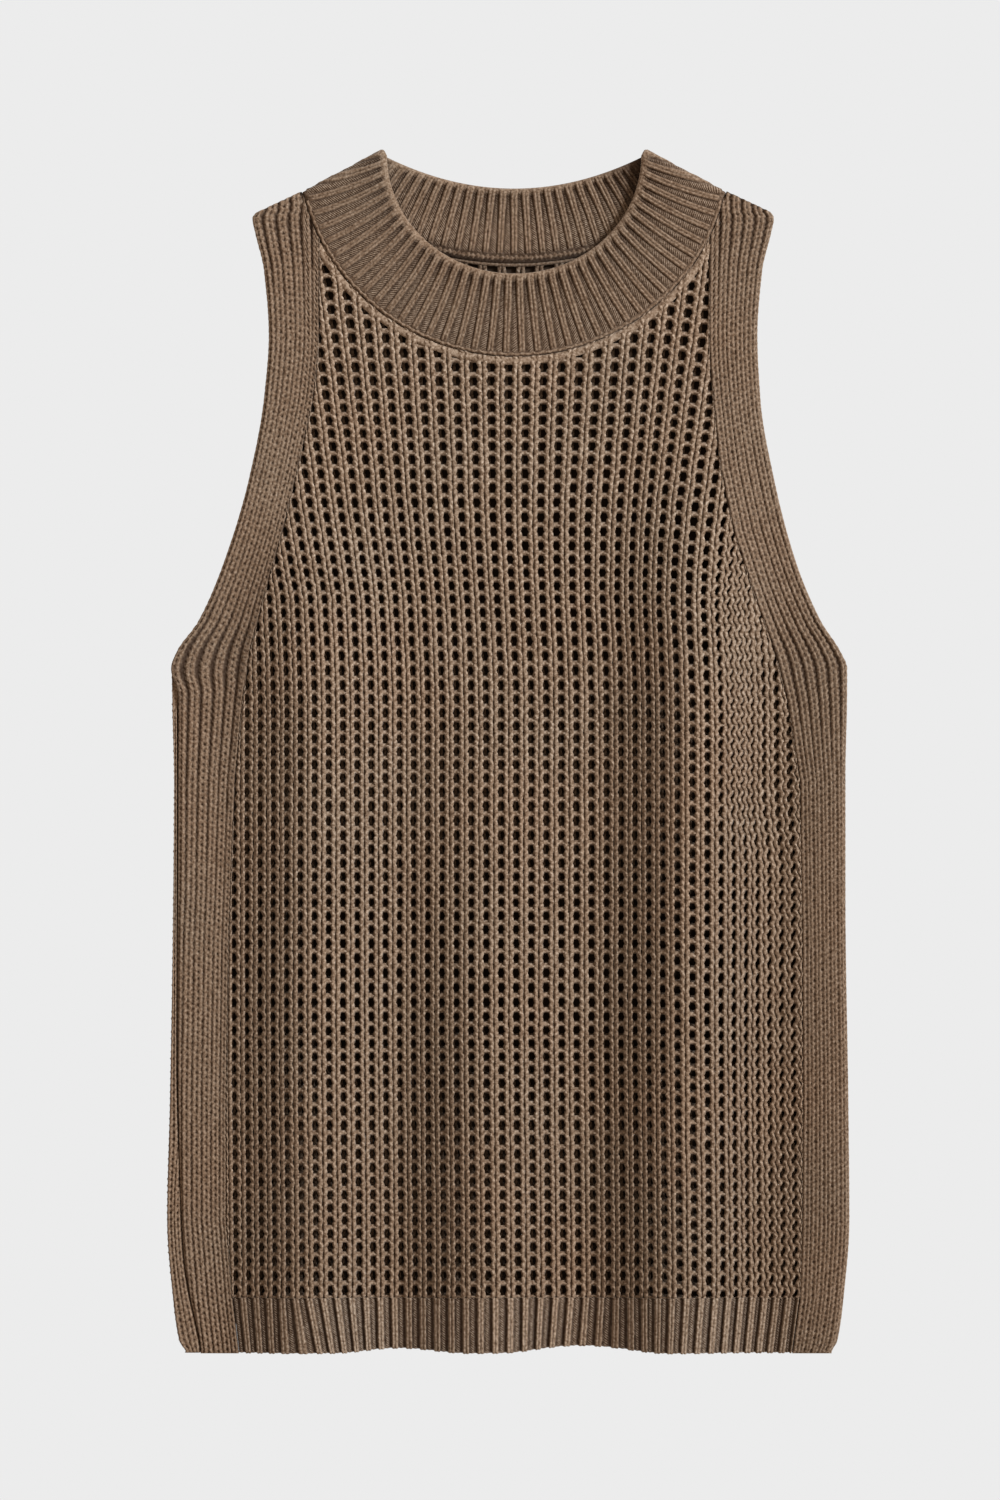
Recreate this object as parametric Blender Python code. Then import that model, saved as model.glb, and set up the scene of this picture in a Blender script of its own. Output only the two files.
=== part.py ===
"""Knitted sweater vest with an open-mesh body, laid flat.

The vest lies on its back on the plane z = 0 with the neck towards +Y. Its back pieces rest on the
plane and its front pieces lie on them. Every piece is a closed wall of cloth. The origin is under
the middle of the whole garment. Ribs are raised on the faces that show.
"""

import math
from collections import namedtuple

import bmesh
import bpy

MM = 0.001

# Cloth
WALL = 3.0 * MM  # full thickness of a back piece
MESH_WALL = 2.2 * MM  # front mesh between its raised wales
RIB_WALL = 2.4 * MM  # front rib between its raised wales
WALE_RISE = 0.8 * MM  # how far a raised wale stands above the cloth beside it
EDGE_WALL = 1.3 * MM  # thickness left at the rolled outer edge of a front piece
SEAM_GAP = 0.3 * MM  # room between two pieces that are linked together

# Lengths along Y
HEM_Y = -337.0 * MM  # lower edge of the hem
HEM_TOP_Y = -305.5 * MM  # where the hem rib meets the mesh
UNDERARM_Y = 46.0 * MM

# Wales and columns
MESH_WALES = 39
BORDER_WALES = 6
BACK_COLUMNS = 16
BACK_BORDER_COLUMNS = 4

# Heights of the rows, in mm: those that the mesh and its borders share, those that only the
# borders have, for their outline, and how many more follow up to the neck or shoulder line
SHARED_HEIGHTS = (-262.0, -195.0, -105.0, -16.0, 29.0, 56.0, 90.0, 124.0, 160.0, 197.0)
BORDER_HEIGHTS = (-332.0, -324.0, 40.0, 47.0, 52.0, 64.0, 74.0, 107.0, 142.0, 178.0)
UPPER_ROWS = 4

# Neck
NECK_CENTRE_X = 3.7 * MM
NECK_POINT_Y = 333.6 * MM  # height of the two neck points, where the neckband folds over
NECK_HALF_WIDTH = 71.1 * MM
FRONT_NECK_DROP = 65.9 * MM
BACK_NECK_DROP = 17.4 * MM
SEAM_CENTRE_Y = 337.1 * MM
SEAM_HALF_WIDTH = 120.4 * MM
SEAM_DROP = 115.4 * MM
SEAM_START = math.radians(12.9)  # angle on the front seam's ellipse where the neckband folds
BACK_SEAM_DROP = 37.0 * MM
BAND_WALL = 3.0 * MM
FOLD_RADIUS_INNER = 3.2 * MM  # bend of the neckband's middle at the neck points
FOLD_RADIUS_OUTER = 1.65 * MM  # and at its seam
FRONT_NECK_RIBS = 38
BACK_NECK_RIBS = 30
FOLD_STEPS = 6
LIP = 0.07  # share of the band's depth that its rolled edge takes
LIP_FULLNESS = 0.35  # thickness at the very edge, as a share of the band's wall

# The outer end of the shoulder line
SHOULDER_TIP_X = -141.4 * MM
SHOULDER_TIP_Y = 301.8 * MM

# The left side seam lies inside the outline, and the back's last wale fills the rest. The seam's
# places are in mm, and the wale's points are shares of its width and of its rise.
SeamPoint = namedtuple("SeamPoint", "y x")
SIDE_SEAM = (
    SeamPoint(-337.0, -172.0),
    SeamPoint(-317.5, -175.2),
    SeamPoint(-304.6, -178.2),
    SeamPoint(-279.0, -181.7),
    SeamPoint(-217.3, -184.2),
    SeamPoint(-172.5, -185.1),
    SeamPoint(46.0, -184.8),
)
SIDE_SEAM_RUN = 14.0 * MM  # length over which the seam moves in, and then the wale rises
LAST_WALE_RISE = 2.4 * MM
LastWale = namedtuple("LastWale", "across share")
LAST_WALE = (
    LastWale(0.0, 0.2),
    LastWale(0.45, 1.0),
    LastWale(0.9, 0.75),
    LastWale(1.0, 0.0),
)

# The outline and the border lines, in mm: height along Y, outer and inner edge of each border
Section = namedtuple("Section", "y outer_left inner_left inner_right outer_right")
SECTIONS = (
    Section(-337.0, -181.2, -150.5, 159.5, 181.7),
    Section(-330.0, -185.0, -151.4, 160.6, 185.0),
    Section(-307.0, -188.4, -154.0, 163.8, 188.4),
    Section(-262.0, -191.8, -157.5, 165.0, 191.8),
    Section(-195.0, -190.2, -157.5, 165.5, 191.2),
    Section(-83.0, -188.4, -155.5, 165.0, 189.6),
    Section(-16.0, -187.9, -152.6, 163.8, 189.6),
    Section(29.0, -189.0, -148.1, 156.5, 190.7),
    Section(47.0, -189.3, -145.3, 152.0, 190.9),
    Section(56.0, -186.2, -144.2, 149.5, 187.2),
    Section(74.0, -173.3, -140.3, 143.4, 175.6),
    Section(107.5, -158.8, -130.2, 131.3, 161.6),
    Section(152.3, -145.3, -119.0, 120.1, 149.8),
    Section(197.1, -136.9, -108.9, 115.1, 142.0),
    Section(233.5, -134.1, -105.6, 112.8, 140.3),
    Section(269.9, -136.9, -105.3, 112.8, 143.1),
    Section(291.0, -142.0, -105.0, 112.8, 148.2),
    Section(299.0, -143.6, -105.0, 112.8, 149.8),
    Section(304.0, -141.0, -105.0, 112.8, 147.4),
    Section(330.0, -141.0, -105.0, 112.8, 147.4),
)

# Soft folds of the front, in mm: place of the crest at its upper end and at the hem,
# height along Y where it starts and where it is full, its rise and its half width
Ridge = namedtuple("Ridge", "top_x hem_x start_y full_y rise half_width")
RIDGES = (
    Ridge(-112.0, -114.0, 130.0, -200.0, 3.3, 42.0),
    Ridge(-18.0, -24.0, 10.0, -260.0, 2.8, 46.0),
    Ridge(106.0, 94.0, 190.0, 20.0, 3.6, 44.0),
)

# Places where the hem's edge draws up between the folds, in mm
Draw = namedtuple("Draw", "x rise half_width")
HEM_DRAWS = (Draw(-60.0, 2.6, 40.0), Draw(43.0, 4.0, 48.0))

YARN_COLOUR = (0.145, 0.098, 0.067)
YARN_ROUGHNESS = 0.92


def clear_scene():
    """Remove what the file holds, so the part stands alone."""
    for thing in list(bpy.data.objects):
        bpy.data.objects.remove(thing, do_unlink=True)


def smooth(value):
    """Ease from 0 to 1."""
    t = min(1.0, max(0.0, value))
    return t * t * (3.0 - 2.0 * t)


def hump(away):
    """A rounded rise: 1 in the middle and 0 from a distance of 1 outwards."""
    return 0.5 * (1.0 + math.cos(math.pi * away)) if away < 1.0 else 0.0


def curve_through(heights, values, y):
    """A value at height y, on a curve through the given ones that doesn't overshoot them."""
    y_mm = min(max(y / MM, heights[0]), heights[-1])
    i = max(k for k in range(len(heights) - 1) if heights[k] <= y_mm)

    def slope(k):
        if k in (0, len(heights) - 1):
            return 0.0
        before = (values[k] - values[k - 1]) / (heights[k] - heights[k - 1])
        after = (values[k + 1] - values[k]) / (heights[k + 1] - heights[k])
        if before * after <= 0.0:
            return 0.0
        return 2.0 * before * after / (before + after)

    step = heights[i + 1] - heights[i]
    t = (y_mm - heights[i]) / step
    blend = values[i] + (values[i + 1] - values[i]) * smooth(t)
    lean = slope(i) * t * (1.0 - t) ** 2 - slope(i + 1) * t**2 * (1.0 - t)
    return (blend + lean * step) * MM


def edge_at(field, y):
    """One column of SECTIONS at height y."""
    heights = [row.y for row in SECTIONS]
    return curve_through(heights, [getattr(row, field) for row in SECTIONS], y)


def seam_at(field, y):
    """An inner edge, straight from one shared row to the next, so both its pieces follow it."""
    knots = (HEM_Y, HEM_TOP_Y, *(height * MM for height in SHARED_HEIGHTS))
    if y <= knots[0] or y >= knots[-1]:
        return edge_at(field, y)
    i = max(k for k in range(len(knots) - 1) if knots[k] <= y)
    t = (y - knots[i]) / (knots[i + 1] - knots[i])
    start, end = edge_at(field, knots[i]), edge_at(field, knots[i + 1])
    return start + (end - start) * t


def fold_rise(x, y):
    """Height of the front's soft folds over the back at a point."""
    total = 0.0
    for ridge in RIDGES:
        start = ridge.start_y * MM
        along = min(1.0, max(0.0, (start - y) / (start - HEM_Y)))
        crest = (ridge.top_x + (ridge.hem_x - ridge.top_x) * along) * MM
        strength = smooth((start - y) / (start - ridge.full_y * MM))
        away = abs(x - crest) / (ridge.half_width * MM)
        total += ridge.rise * MM * strength * hump(away)
    return total


def hem_y(x):
    """Height of the hem's edge, which draws up between the folds."""
    draws = (draw.rise * hump(abs(x / MM - draw.x) / draw.half_width) for draw in HEM_DRAWS)
    return HEM_Y + sum(draws) * MM


def ellipse(angle, centre_y, half_width, drop):
    """A point of a neckline: angle 0 is its left end and pi its right end."""
    x = NECK_CENTRE_X - half_width * math.cos(angle)
    return x, centre_y - drop * math.sin(angle)


def mirrored(x):
    """The same place on the other side of the neck."""
    return 2 * NECK_CENTRE_X - x


# The left fold of the neckband runs from the neck point to its seam, and bends outwards across
FOLD_INNER_X, FOLD_INNER_Y = NECK_CENTRE_X - NECK_HALF_WIDTH, NECK_POINT_Y
FOLD_OUTER_X, FOLD_OUTER_Y = ellipse(SEAM_START, SEAM_CENTRE_Y, SEAM_HALF_WIDTH, SEAM_DROP)
FOLD_LENGTH = math.hypot(FOLD_OUTER_X - FOLD_INNER_X, FOLD_OUTER_Y - FOLD_INNER_Y)
OUTWARD_X = (FOLD_OUTER_Y - FOLD_INNER_Y) / FOLD_LENGTH
OUTWARD_Y = -(FOLD_OUTER_X - FOLD_INNER_X) / FOLD_LENGTH
# Where the outside of the fold meets the shoulder line
CORNER_X = FOLD_OUTER_X + OUTWARD_X * (FOLD_RADIUS_OUTER + BAND_WALL / 2)
CORNER_Y = FOLD_OUTER_Y + OUTWARD_Y * (FOLD_RADIUS_OUTER + BAND_WALL / 2)


def back_seam_y(x):
    """The back neckline's seam, a shallow curve between the two folds."""
    ratio = (x - NECK_CENTRE_X) / (NECK_CENTRE_X - FOLD_OUTER_X)
    return FOLD_OUTER_Y - BACK_SEAM_DROP * (1.0 - ratio * ratio)


def back_edge_y(x):
    """The top edge of the back half of the neckband."""
    ratio = (x - NECK_CENTRE_X) / NECK_HALF_WIDTH
    return NECK_POINT_Y - BACK_NECK_DROP * (1.0 - ratio * ratio)


def neck_limit(x, front):
    """How far up a panel reaches at x: to the shoulder line, or to the neckband's seam."""
    x = min(x, mirrored(x))
    shoulder = CORNER_Y + (SHOULDER_TIP_Y - CORNER_Y) * (x - CORNER_X) / (SHOULDER_TIP_X - CORNER_X)
    beside = x + SEAM_GAP
    if beside < CORNER_X:
        return shoulder
    if beside < FOLD_OUTER_X:
        seam = FOLD_OUTER_Y + (beside - FOLD_OUTER_X) * OUTWARD_Y / OUTWARD_X
    elif front:
        ratio = (beside - NECK_CENTRE_X) / SEAM_HALF_WIDTH
        seam = SEAM_CENTRE_Y - SEAM_DROP * math.sqrt(1.0 - ratio * ratio)
    else:
        seam = back_seam_y(beside)
    return min(shoulder, seam - SEAM_GAP)


def top_of(line, front):
    """Height at which an upright line of a panel meets the neck or shoulder line."""
    low, high = SHARED_HEIGHTS[-1] * MM, NECK_POINT_Y
    for _ in range(40):
        middle = (low + high) / 2
        if middle < neck_limit(line(middle), front):
            low = middle
        else:
            high = middle
    return low


def outer_line(field):
    return lambda y: edge_at(field, y)


def inner_line(field, inset):
    return lambda y: seam_at(field, y) + inset


def line_between(left, right, share):
    """The line that keeps the same share of the way between two others."""
    return lambda y: left(y) + (right(y) - left(y)) * share


def spread_lines(left, right, count):
    return [line_between(left, right, i / count) for i in range(count + 1)]


def inset_at(y):
    """How far the left side seam lies inside the outline."""
    y = min(y, UNDERARM_Y)
    heights = [point.y for point in SIDE_SEAM]
    return curve_through(heights, [point.x for point in SIDE_SEAM], y) - edge_at("outer_left", y)


def side_seam(y):
    """The left outer edge of the front: the armhole, and below the underarm the side seam."""
    moved = smooth((UNDERARM_Y - y) / SIDE_SEAM_RUN)
    return edge_at("outer_left", y) + inset_at(y) * moved


def columns_of(lines, bottom, heights, front):
    """Points up each line: its foot, the given heights in mm, and the rows up to its top."""
    columns = []
    for line in lines:
        foot = bottom if bottom is not None else hem_y(line(HEM_Y))
        top = top_of(line, front)
        start = heights[-1] * MM
        upper = [start + (top - start) * k / UPPER_ROWS for k in range(1, UPPER_ROWS + 1)]
        column = [foot, *(height * MM for height in heights), *upper]
        columns.append([(line(y), y) for y in column])
    return columns


def hem_columns(lines):
    columns = []
    for line in lines:
        foot, top = hem_y(line(HEM_Y)), HEM_TOP_Y - SEAM_GAP / 2
        columns.append([(line(foot), foot), (line(top), top)])
    return columns


def add_material(piece):
    material = bpy.data.materials.new(piece.name + "_yarn")
    material.use_nodes = True
    shader = material.node_tree.nodes["Principled BSDF"]
    shader.inputs["Base Color"].default_value = (*YARN_COLOUR, 1.0)
    shader.inputs["Roughness"].default_value = YARN_ROUGHNESS
    shader.inputs["Metallic"].default_value = 0.0
    piece.data.materials.append(material)


def add_piece(name, bm):
    bmesh.ops.recalc_face_normals(bm, faces=bm.faces)
    mesh = bpy.data.meshes.new(name)
    bm.to_mesh(mesh)
    bm.free()
    piece = bpy.data.objects.new(name, mesh)
    bpy.context.collection.objects.link(piece)
    add_material(piece)


def add_wall(name, columns, top, low):
    """A closed wall over columns of (x, y) points, with a function for the height of each face."""
    bm = bmesh.new()
    upper = [[bm.verts.new((x, y, top(i, x, y))) for x, y in col] for i, col in enumerate(columns)]
    lower = [[bm.verts.new((x, y, low(x, y))) for x, y in col] for col in columns]
    last, rows = len(columns) - 1, len(columns[0]) - 1
    for i in range(last):
        for j in range(rows):
            bm.faces.new((upper[i][j], upper[i + 1][j], upper[i + 1][j + 1], upper[i][j + 1]))
            bm.faces.new((lower[i][j], lower[i][j + 1], lower[i + 1][j + 1], lower[i + 1][j]))
        for j in (0, rows):
            bm.faces.new((upper[i][j], upper[i + 1][j], lower[i + 1][j], lower[i][j]))
    for j in range(rows):
        for i in (0, last):
            bm.faces.new((upper[i][j], upper[i][j + 1], lower[i][j + 1], lower[i][j]))
    add_piece(name, bm)


def front_low(x, y):
    return WALL + SEAM_GAP + fold_rise(x, y)


def on_the_plane(x, y):
    return 0.0


def flat_top(i, x, y):
    return WALL


def mesh_lines(count):
    left = inner_line("inner_left", SEAM_GAP / 2)
    right = inner_line("inner_right", -SEAM_GAP / 2)
    return spread_lines(left, right, count)


def make_front_mesh_and_hem():
    """Every second line is the crest of a wale, and the wales run on through the hem rib."""
    lines = mesh_lines(2 * MESH_WALES)
    columns = columns_of(lines, HEM_TOP_Y + SEAM_GAP / 2, SHARED_HEIGHTS, True)

    def mesh_top(i, x, y):
        return front_low(x, y) + MESH_WALL + WALE_RISE * (i % 2)

    def hem_top(i, x, y):
        return front_low(x, y) + RIB_WALL + WALE_RISE * (i % 2)

    add_wall("front_mesh_panel", columns, mesh_top, front_low)
    add_wall("front_hem_rib", hem_columns(lines), hem_top, front_low)


def make_back_mesh_and_hem():
    lines = mesh_lines(BACK_COLUMNS)
    columns = columns_of(lines, HEM_TOP_Y + SEAM_GAP / 2, SHARED_HEIGHTS, False)
    add_wall("back_mesh_panel", columns, flat_top, on_the_plane)
    add_wall("back_hem_rib", hem_columns(lines), flat_top, on_the_plane)


def border_heights():
    return sorted((HEM_TOP_Y / MM, *SHARED_HEIGHTS, *BORDER_HEIGHTS))


def make_front_border(name, outer, inner):
    """Raised wales along the border, whose outer edge is rolled down towards the back."""
    lines = spread_lines(outer, inner, 2 * BORDER_WALES)
    columns = columns_of(lines, None, border_heights(), True)

    def top(i, x, y):
        thickness = EDGE_WALL if i == 0 else RIB_WALL + WALE_RISE * (i % 2)
        return front_low(x, y) + thickness

    add_wall(name, columns, top, front_low)


def make_back_border_right():
    outer = outer_line("outer_right")
    lines = spread_lines(outer, inner_line("inner_right", SEAM_GAP / 2), BACK_BORDER_COLUMNS)
    columns = columns_of(lines, None, border_heights(), False)
    add_wall("back_border_right", columns, flat_top, on_the_plane)


def make_back_border_left():
    """A flat wall whose last wale, outside the front's side seam, rises to the front's height."""
    outer = outer_line("outer_left")
    inner = inner_line("inner_left", -SEAM_GAP / 2)
    lines = [
        lambda y, wale=wale: outer(y) + wale.across * (inset_at(y) - SEAM_GAP) for wale in LAST_WALE
    ]
    lines += spread_lines(outer, inner, BACK_BORDER_COLUMNS)[2:]
    columns = columns_of(lines, None, border_heights(), False)

    def top(i, x, y):
        risen = smooth((UNDERARM_Y - SIDE_SEAM_RUN - y) / SIDE_SEAM_RUN)
        share = LAST_WALE[i].share if i < len(LAST_WALE) else 0.0
        return WALL + LAST_WALE_RISE * share * risen

    add_wall("back_border_left", columns, top, on_the_plane)


def rib_profile(count):
    """Shares of the way along the band and whether a rib is raised there, four to a rib."""
    for k in range(count):
        for place, raised in ((0.1, 0.0), (0.3, 1.0), (0.7, 1.0), (0.9, 0.0)):
            yield (k + place) / count, raised


# A section across the neckband: its inner and outer point, the angle of the garment's outer side
# from +Z, the way that it bends, and how far its outer and its inner face are raised as a rib
BandSection = namedtuple("BandSection", "inner outer tilt bend outer_rib inner_rib openness")


def fold_sections(inner, outer, bend, tilts):
    return [BandSection(inner, outer, tilt, bend, 0.0, 0.0, 0.0) for tilt in tilts]


def band_sections():
    """Round the ring: the front half from left to right, a fold, the back half and a fold."""
    flat = (0.0, 0.0)
    front, back = [], []
    for f, raised in rib_profile(FRONT_NECK_RIBS):
        inner = ellipse(math.pi * f, NECK_POINT_Y, NECK_HALF_WIDTH, FRONT_NECK_DROP)
        angle = SEAM_START + (math.pi - 2 * SEAM_START) * f
        outer = ellipse(angle, SEAM_CENTRE_Y, SEAM_HALF_WIDTH, SEAM_DROP)
        front.append(BandSection(inner, outer, 0.0, flat, raised, 0.0, 1.0))
    for f, raised in rib_profile(BACK_NECK_RIBS):
        x = mirrored(FOLD_INNER_X) + (FOLD_INNER_X - mirrored(FOLD_INNER_X)) * f
        seam_x = mirrored(FOLD_OUTER_X) + (FOLD_OUTER_X - mirrored(FOLD_OUTER_X)) * f
        inner, outer = (x, back_edge_y(x)), (seam_x, back_seam_y(seam_x))
        back.append(BandSection(inner, outer, math.pi, flat, 0.0, raised, math.sin(math.pi * f)))
    tilts = [math.pi * step / FOLD_STEPS for step in range(FOLD_STEPS + 1)]
    left_inner, left_outer = (FOLD_INNER_X, FOLD_INNER_Y), (FOLD_OUTER_X, FOLD_OUTER_Y)
    right_inner = (mirrored(FOLD_INNER_X), FOLD_INNER_Y)
    right_outer = (mirrored(FOLD_OUTER_X), FOLD_OUTER_Y)
    right = fold_sections(right_inner, right_outer, (-OUTWARD_X, OUTWARD_Y), tilts)
    left = fold_sections(left_inner, left_outer, (OUTWARD_X, OUTWARD_Y), tilts[::-1])
    return front + right + back + left


def band_point(section, c, face):
    """A point at share c of the band's depth, on its outer face, 1, or its inner face, -1."""
    radius = FOLD_RADIUS_INNER + (FOLD_RADIUS_OUTER - FOLD_RADIUS_INNER) * c
    fullness = LIP_FULLNESS if c == 0.0 else 1.0
    rib = section.outer_rib if face > 0 else section.inner_rib
    fade = 1.0 - c * c * (1.0 - section.openness)
    rise = WALE_RISE * rib * fade * (fullness == 1.0)
    reach = radius + face * (BAND_WALL / 2 * fullness + rise)
    across = math.sin(section.tilt) * reach
    x = section.inner[0] + (section.outer[0] - section.inner[0]) * c + section.bend[0] * across
    y = section.inner[1] + (section.outer[1] - section.inner[1]) * c + section.bend[1] * across
    return x, y, BAND_WALL / 2 + radius + math.cos(section.tilt) * reach


def make_neckband():
    """The ribbed ring: its front half over the back half, bent round the two neck points."""
    bm = bmesh.new()
    stations = ((0.0, 1), (LIP, 1), (1.0, 1), (1.0, -1), (LIP, -1), (0.0, -1))
    rings = [
        [bm.verts.new(band_point(section, c, face)) for c, face in stations]
        for section in band_sections()
    ]
    for ring, following in zip(rings, rings[1:] + rings[:1]):
        for k in range(len(stations)):
            after = (k + 1) % len(stations)
            bm.faces.new((ring[k], ring[after], following[after], following[k]))
    add_piece("neckband", bm)


def main():
    clear_scene()
    make_back_mesh_and_hem()
    make_back_border_left()
    make_back_border_right()
    make_front_mesh_and_hem()
    make_front_border("front_border_left", side_seam, inner_line("inner_left", -SEAM_GAP / 2))
    right_inner = inner_line("inner_right", SEAM_GAP / 2)
    make_front_border("front_border_right", outer_line("outer_right"), right_inner)
    make_neckband()


main()
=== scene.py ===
"""Knits the cloth of a sweater vest laid flat: open mesh, dense ribs, and a neckband.

The file is laid out as a Blender add-on and is run as a script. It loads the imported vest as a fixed
frame and replaces each plain wall of cloth by the same wall knitted out. Lengths in the tables are
in mm, lengths in the code in metres.
"""

import math
from collections import namedtuple

import bmesh
import bpy
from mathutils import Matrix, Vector


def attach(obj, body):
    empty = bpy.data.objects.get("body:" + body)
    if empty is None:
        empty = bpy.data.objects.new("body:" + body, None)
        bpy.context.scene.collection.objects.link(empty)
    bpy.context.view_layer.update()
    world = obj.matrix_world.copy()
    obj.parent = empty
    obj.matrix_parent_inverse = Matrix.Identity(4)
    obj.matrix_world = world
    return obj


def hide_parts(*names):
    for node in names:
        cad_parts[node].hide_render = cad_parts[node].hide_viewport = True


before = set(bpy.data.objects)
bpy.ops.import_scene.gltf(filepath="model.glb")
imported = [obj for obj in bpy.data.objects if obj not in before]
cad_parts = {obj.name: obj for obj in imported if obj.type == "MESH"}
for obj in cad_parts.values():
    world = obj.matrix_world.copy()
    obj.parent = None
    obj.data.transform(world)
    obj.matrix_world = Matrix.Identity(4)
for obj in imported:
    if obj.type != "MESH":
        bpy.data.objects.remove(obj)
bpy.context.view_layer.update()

bl_info = {
    "name": "Knitted vest",
    "version": (1, 0, 0),
    "blender": (4, 5, 0),
    "location": "3D View > Sidebar > Vest",
    "description": "Knits the open mesh, the ribs and the neckband of a vest on its plain walls",
    "category": "Object",
}

MM = 0.001
TAU = 2.0 * math.pi

# ---- The garment's form, the same as that of the plain walls ----

WALL = 3.0 * MM
SEAM_GAP = 0.3 * MM
FRONT_DEPTH = 3.1 * MM  # from the front's inner face to the tops of its yarns

HEM_Y = -337.0 * MM
HEM_TOP_Y = -305.5 * MM
UNDERARM_Y = 46.0 * MM
SHARED_HEIGHTS = (-262.0, -195.0, -105.0, -16.0, 29.0, 56.0, 90.0, 124.0, 160.0, 197.0)

NECK_CENTRE_X = 3.7 * MM
NECK_POINT_Y = 333.6 * MM
NECK_HALF_WIDTH = 71.1 * MM
FRONT_NECK_DROP = 65.9 * MM
BACK_NECK_DROP = 17.4 * MM
SEAM_CENTRE_Y = 337.1 * MM
SEAM_HALF_WIDTH = 120.4 * MM
SEAM_DROP = 115.4 * MM
SEAM_START = math.radians(12.9)
BACK_SEAM_DROP = 37.0 * MM
BAND_WALL = 3.0 * MM
BAND_RIB_RISE = 0.8 * MM
FOLD_RADIUS_INNER = 3.2 * MM
FOLD_RADIUS_OUTER = 1.65 * MM

SHOULDER_TIP_X = -141.4 * MM
SHOULDER_TIP_Y = 301.8 * MM

SeamPoint = namedtuple("SeamPoint", "y x")
SIDE_SEAM = (
    SeamPoint(-337.0, -172.0),
    SeamPoint(-317.5, -175.2),
    SeamPoint(-304.6, -178.2),
    SeamPoint(-279.0, -181.7),
    SeamPoint(-217.3, -184.2),
    SeamPoint(-172.5, -185.1),
    SeamPoint(46.0, -184.8),
)
SIDE_SEAM_RUN = 14.0 * MM
LAST_WALE_RISE = 2.4 * MM

Section = namedtuple("Section", "y outer_left inner_left inner_right outer_right")
SECTIONS = (
    Section(-337.0, -181.2, -150.5, 159.5, 181.7),
    Section(-330.0, -185.0, -151.4, 160.6, 185.0),
    Section(-307.0, -188.4, -154.0, 163.8, 188.4),
    Section(-262.0, -191.8, -157.5, 165.0, 191.8),
    Section(-195.0, -190.2, -157.5, 165.5, 191.2),
    Section(-83.0, -188.4, -155.5, 165.0, 189.6),
    Section(-16.0, -187.9, -152.6, 163.8, 189.6),
    Section(29.0, -189.0, -148.1, 156.5, 190.7),
    Section(47.0, -189.3, -145.3, 152.0, 190.9),
    Section(56.0, -186.2, -144.2, 149.5, 187.2),
    Section(74.0, -173.3, -140.3, 143.4, 175.6),
    Section(107.5, -158.8, -130.2, 131.3, 161.6),
    Section(152.3, -145.3, -119.0, 120.1, 149.8),
    Section(197.1, -136.9, -108.9, 115.1, 142.0),
    Section(233.5, -134.1, -105.6, 112.8, 140.3),
    Section(269.9, -136.9, -105.3, 112.8, 143.1),
    Section(291.0, -142.0, -105.0, 112.8, 148.2),
    Section(299.0, -143.6, -105.0, 112.8, 149.8),
    Section(304.0, -141.0, -105.0, 112.8, 147.4),
    Section(330.0, -141.0, -105.0, 112.8, 147.4),
)

# Soft folds of the front: place of the crest at its upper end and at the hem, height along Y
# where it starts and where it is full, its rise and its half width
Ridge = namedtuple("Ridge", "top_x hem_x start_y full_y rise half_width")
RIDGES = (
    Ridge(-112.0, -114.0, 130.0, -200.0, 3.3, 42.0),
    Ridge(-18.0, -24.0, 10.0, -260.0, 2.8, 46.0),
    Ridge(106.0, 94.0, 190.0, 20.0, 3.6, 44.0),
)
Draw = namedtuple("Draw", "x rise half_width")
HEM_DRAWS = (Draw(-60.0, 2.6, 40.0), Draw(43.0, 4.0, 48.0))

# ---- The lattice of the open mesh: columns of holes from the left, rows of holes from the hem ----

FIRST_COLUMN, LAST_COLUMN = -2, 42
FIRST_ROW, LAST_ROW = -1, 77
MIDDLE_COLUMN = 20
COLUMN_PITCH = 8.45 * MM
ROW_PITCH = 7.74 * MM
FIRST_HOLE_Y = -302.0 * MM
# The rows breathe a little, as hand-pulled cloth does: by how many mm, and how fast from row to row
Breath = namedtuple("Breath", "size turn start")
BREATHS = (Breath(0.9, 0.55, 0.0), Breath(0.5, 0.23, 1.0))
# The middle column's place in mm at the top, and how it drifts to the right on its way down
MIDDLE_X = 0.53
Drift = namedtuple("Drift", "start_y run shift")
DRIFTS = (Drift(150.0, 130.0, 4.3), Drift(-140.0, 170.0, 1.1))
# The back's mesh lies aside of the front's: its shift, and its sway with its turn for each row
BACK_SHIFT_X, BACK_SHIFT_Y, BACK_SWAY, BACK_SWAY_TURN = 1.3, 1.1, 0.9, 0.21
WALE_SHARE = 0.58  # share of a lattice cell that its wale takes, in the lattice's own units
CELL_STOPS = (0.0, 0.5 - WALE_SHARE / 2, 0.5, 0.5 + WALE_SHARE / 2)
CELL_QUARTERS = 4
MAP_COLUMNS, MAP_ROWS = 64.0, 128.0  # what one unit of the lattice's own map holds

# Where the columns crowd together, how far their wales sway to the right at the bars, how far they
# lean to and fro beside the holes, and between which heights they do so
Tight = namedtuple(
    "Tight", "column half_width squeeze sway lean low_y high_y", defaults=(-1000.0, 1000.0)
)
TIGHT_PLACES = (
    Tight(1.3, 8.9, 1.12, -0.2, 0.0),
    Tight(11.9, 8.2, 0.57, 0.0, 0.0),
    Tight(28.7, 3.1, 0.92, 0.0, 0.0),
    Tight(35.7, 3.6, 3.07, 0.6, 1.0, -65.0, 1000.0),
    Tight(36.4, 5.2, 1.8, 0.2, 0.5, -1000.0, -15.0),
    Tight(42.7, 6.7, 2.06, 0.3, 1.5),
)
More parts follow.
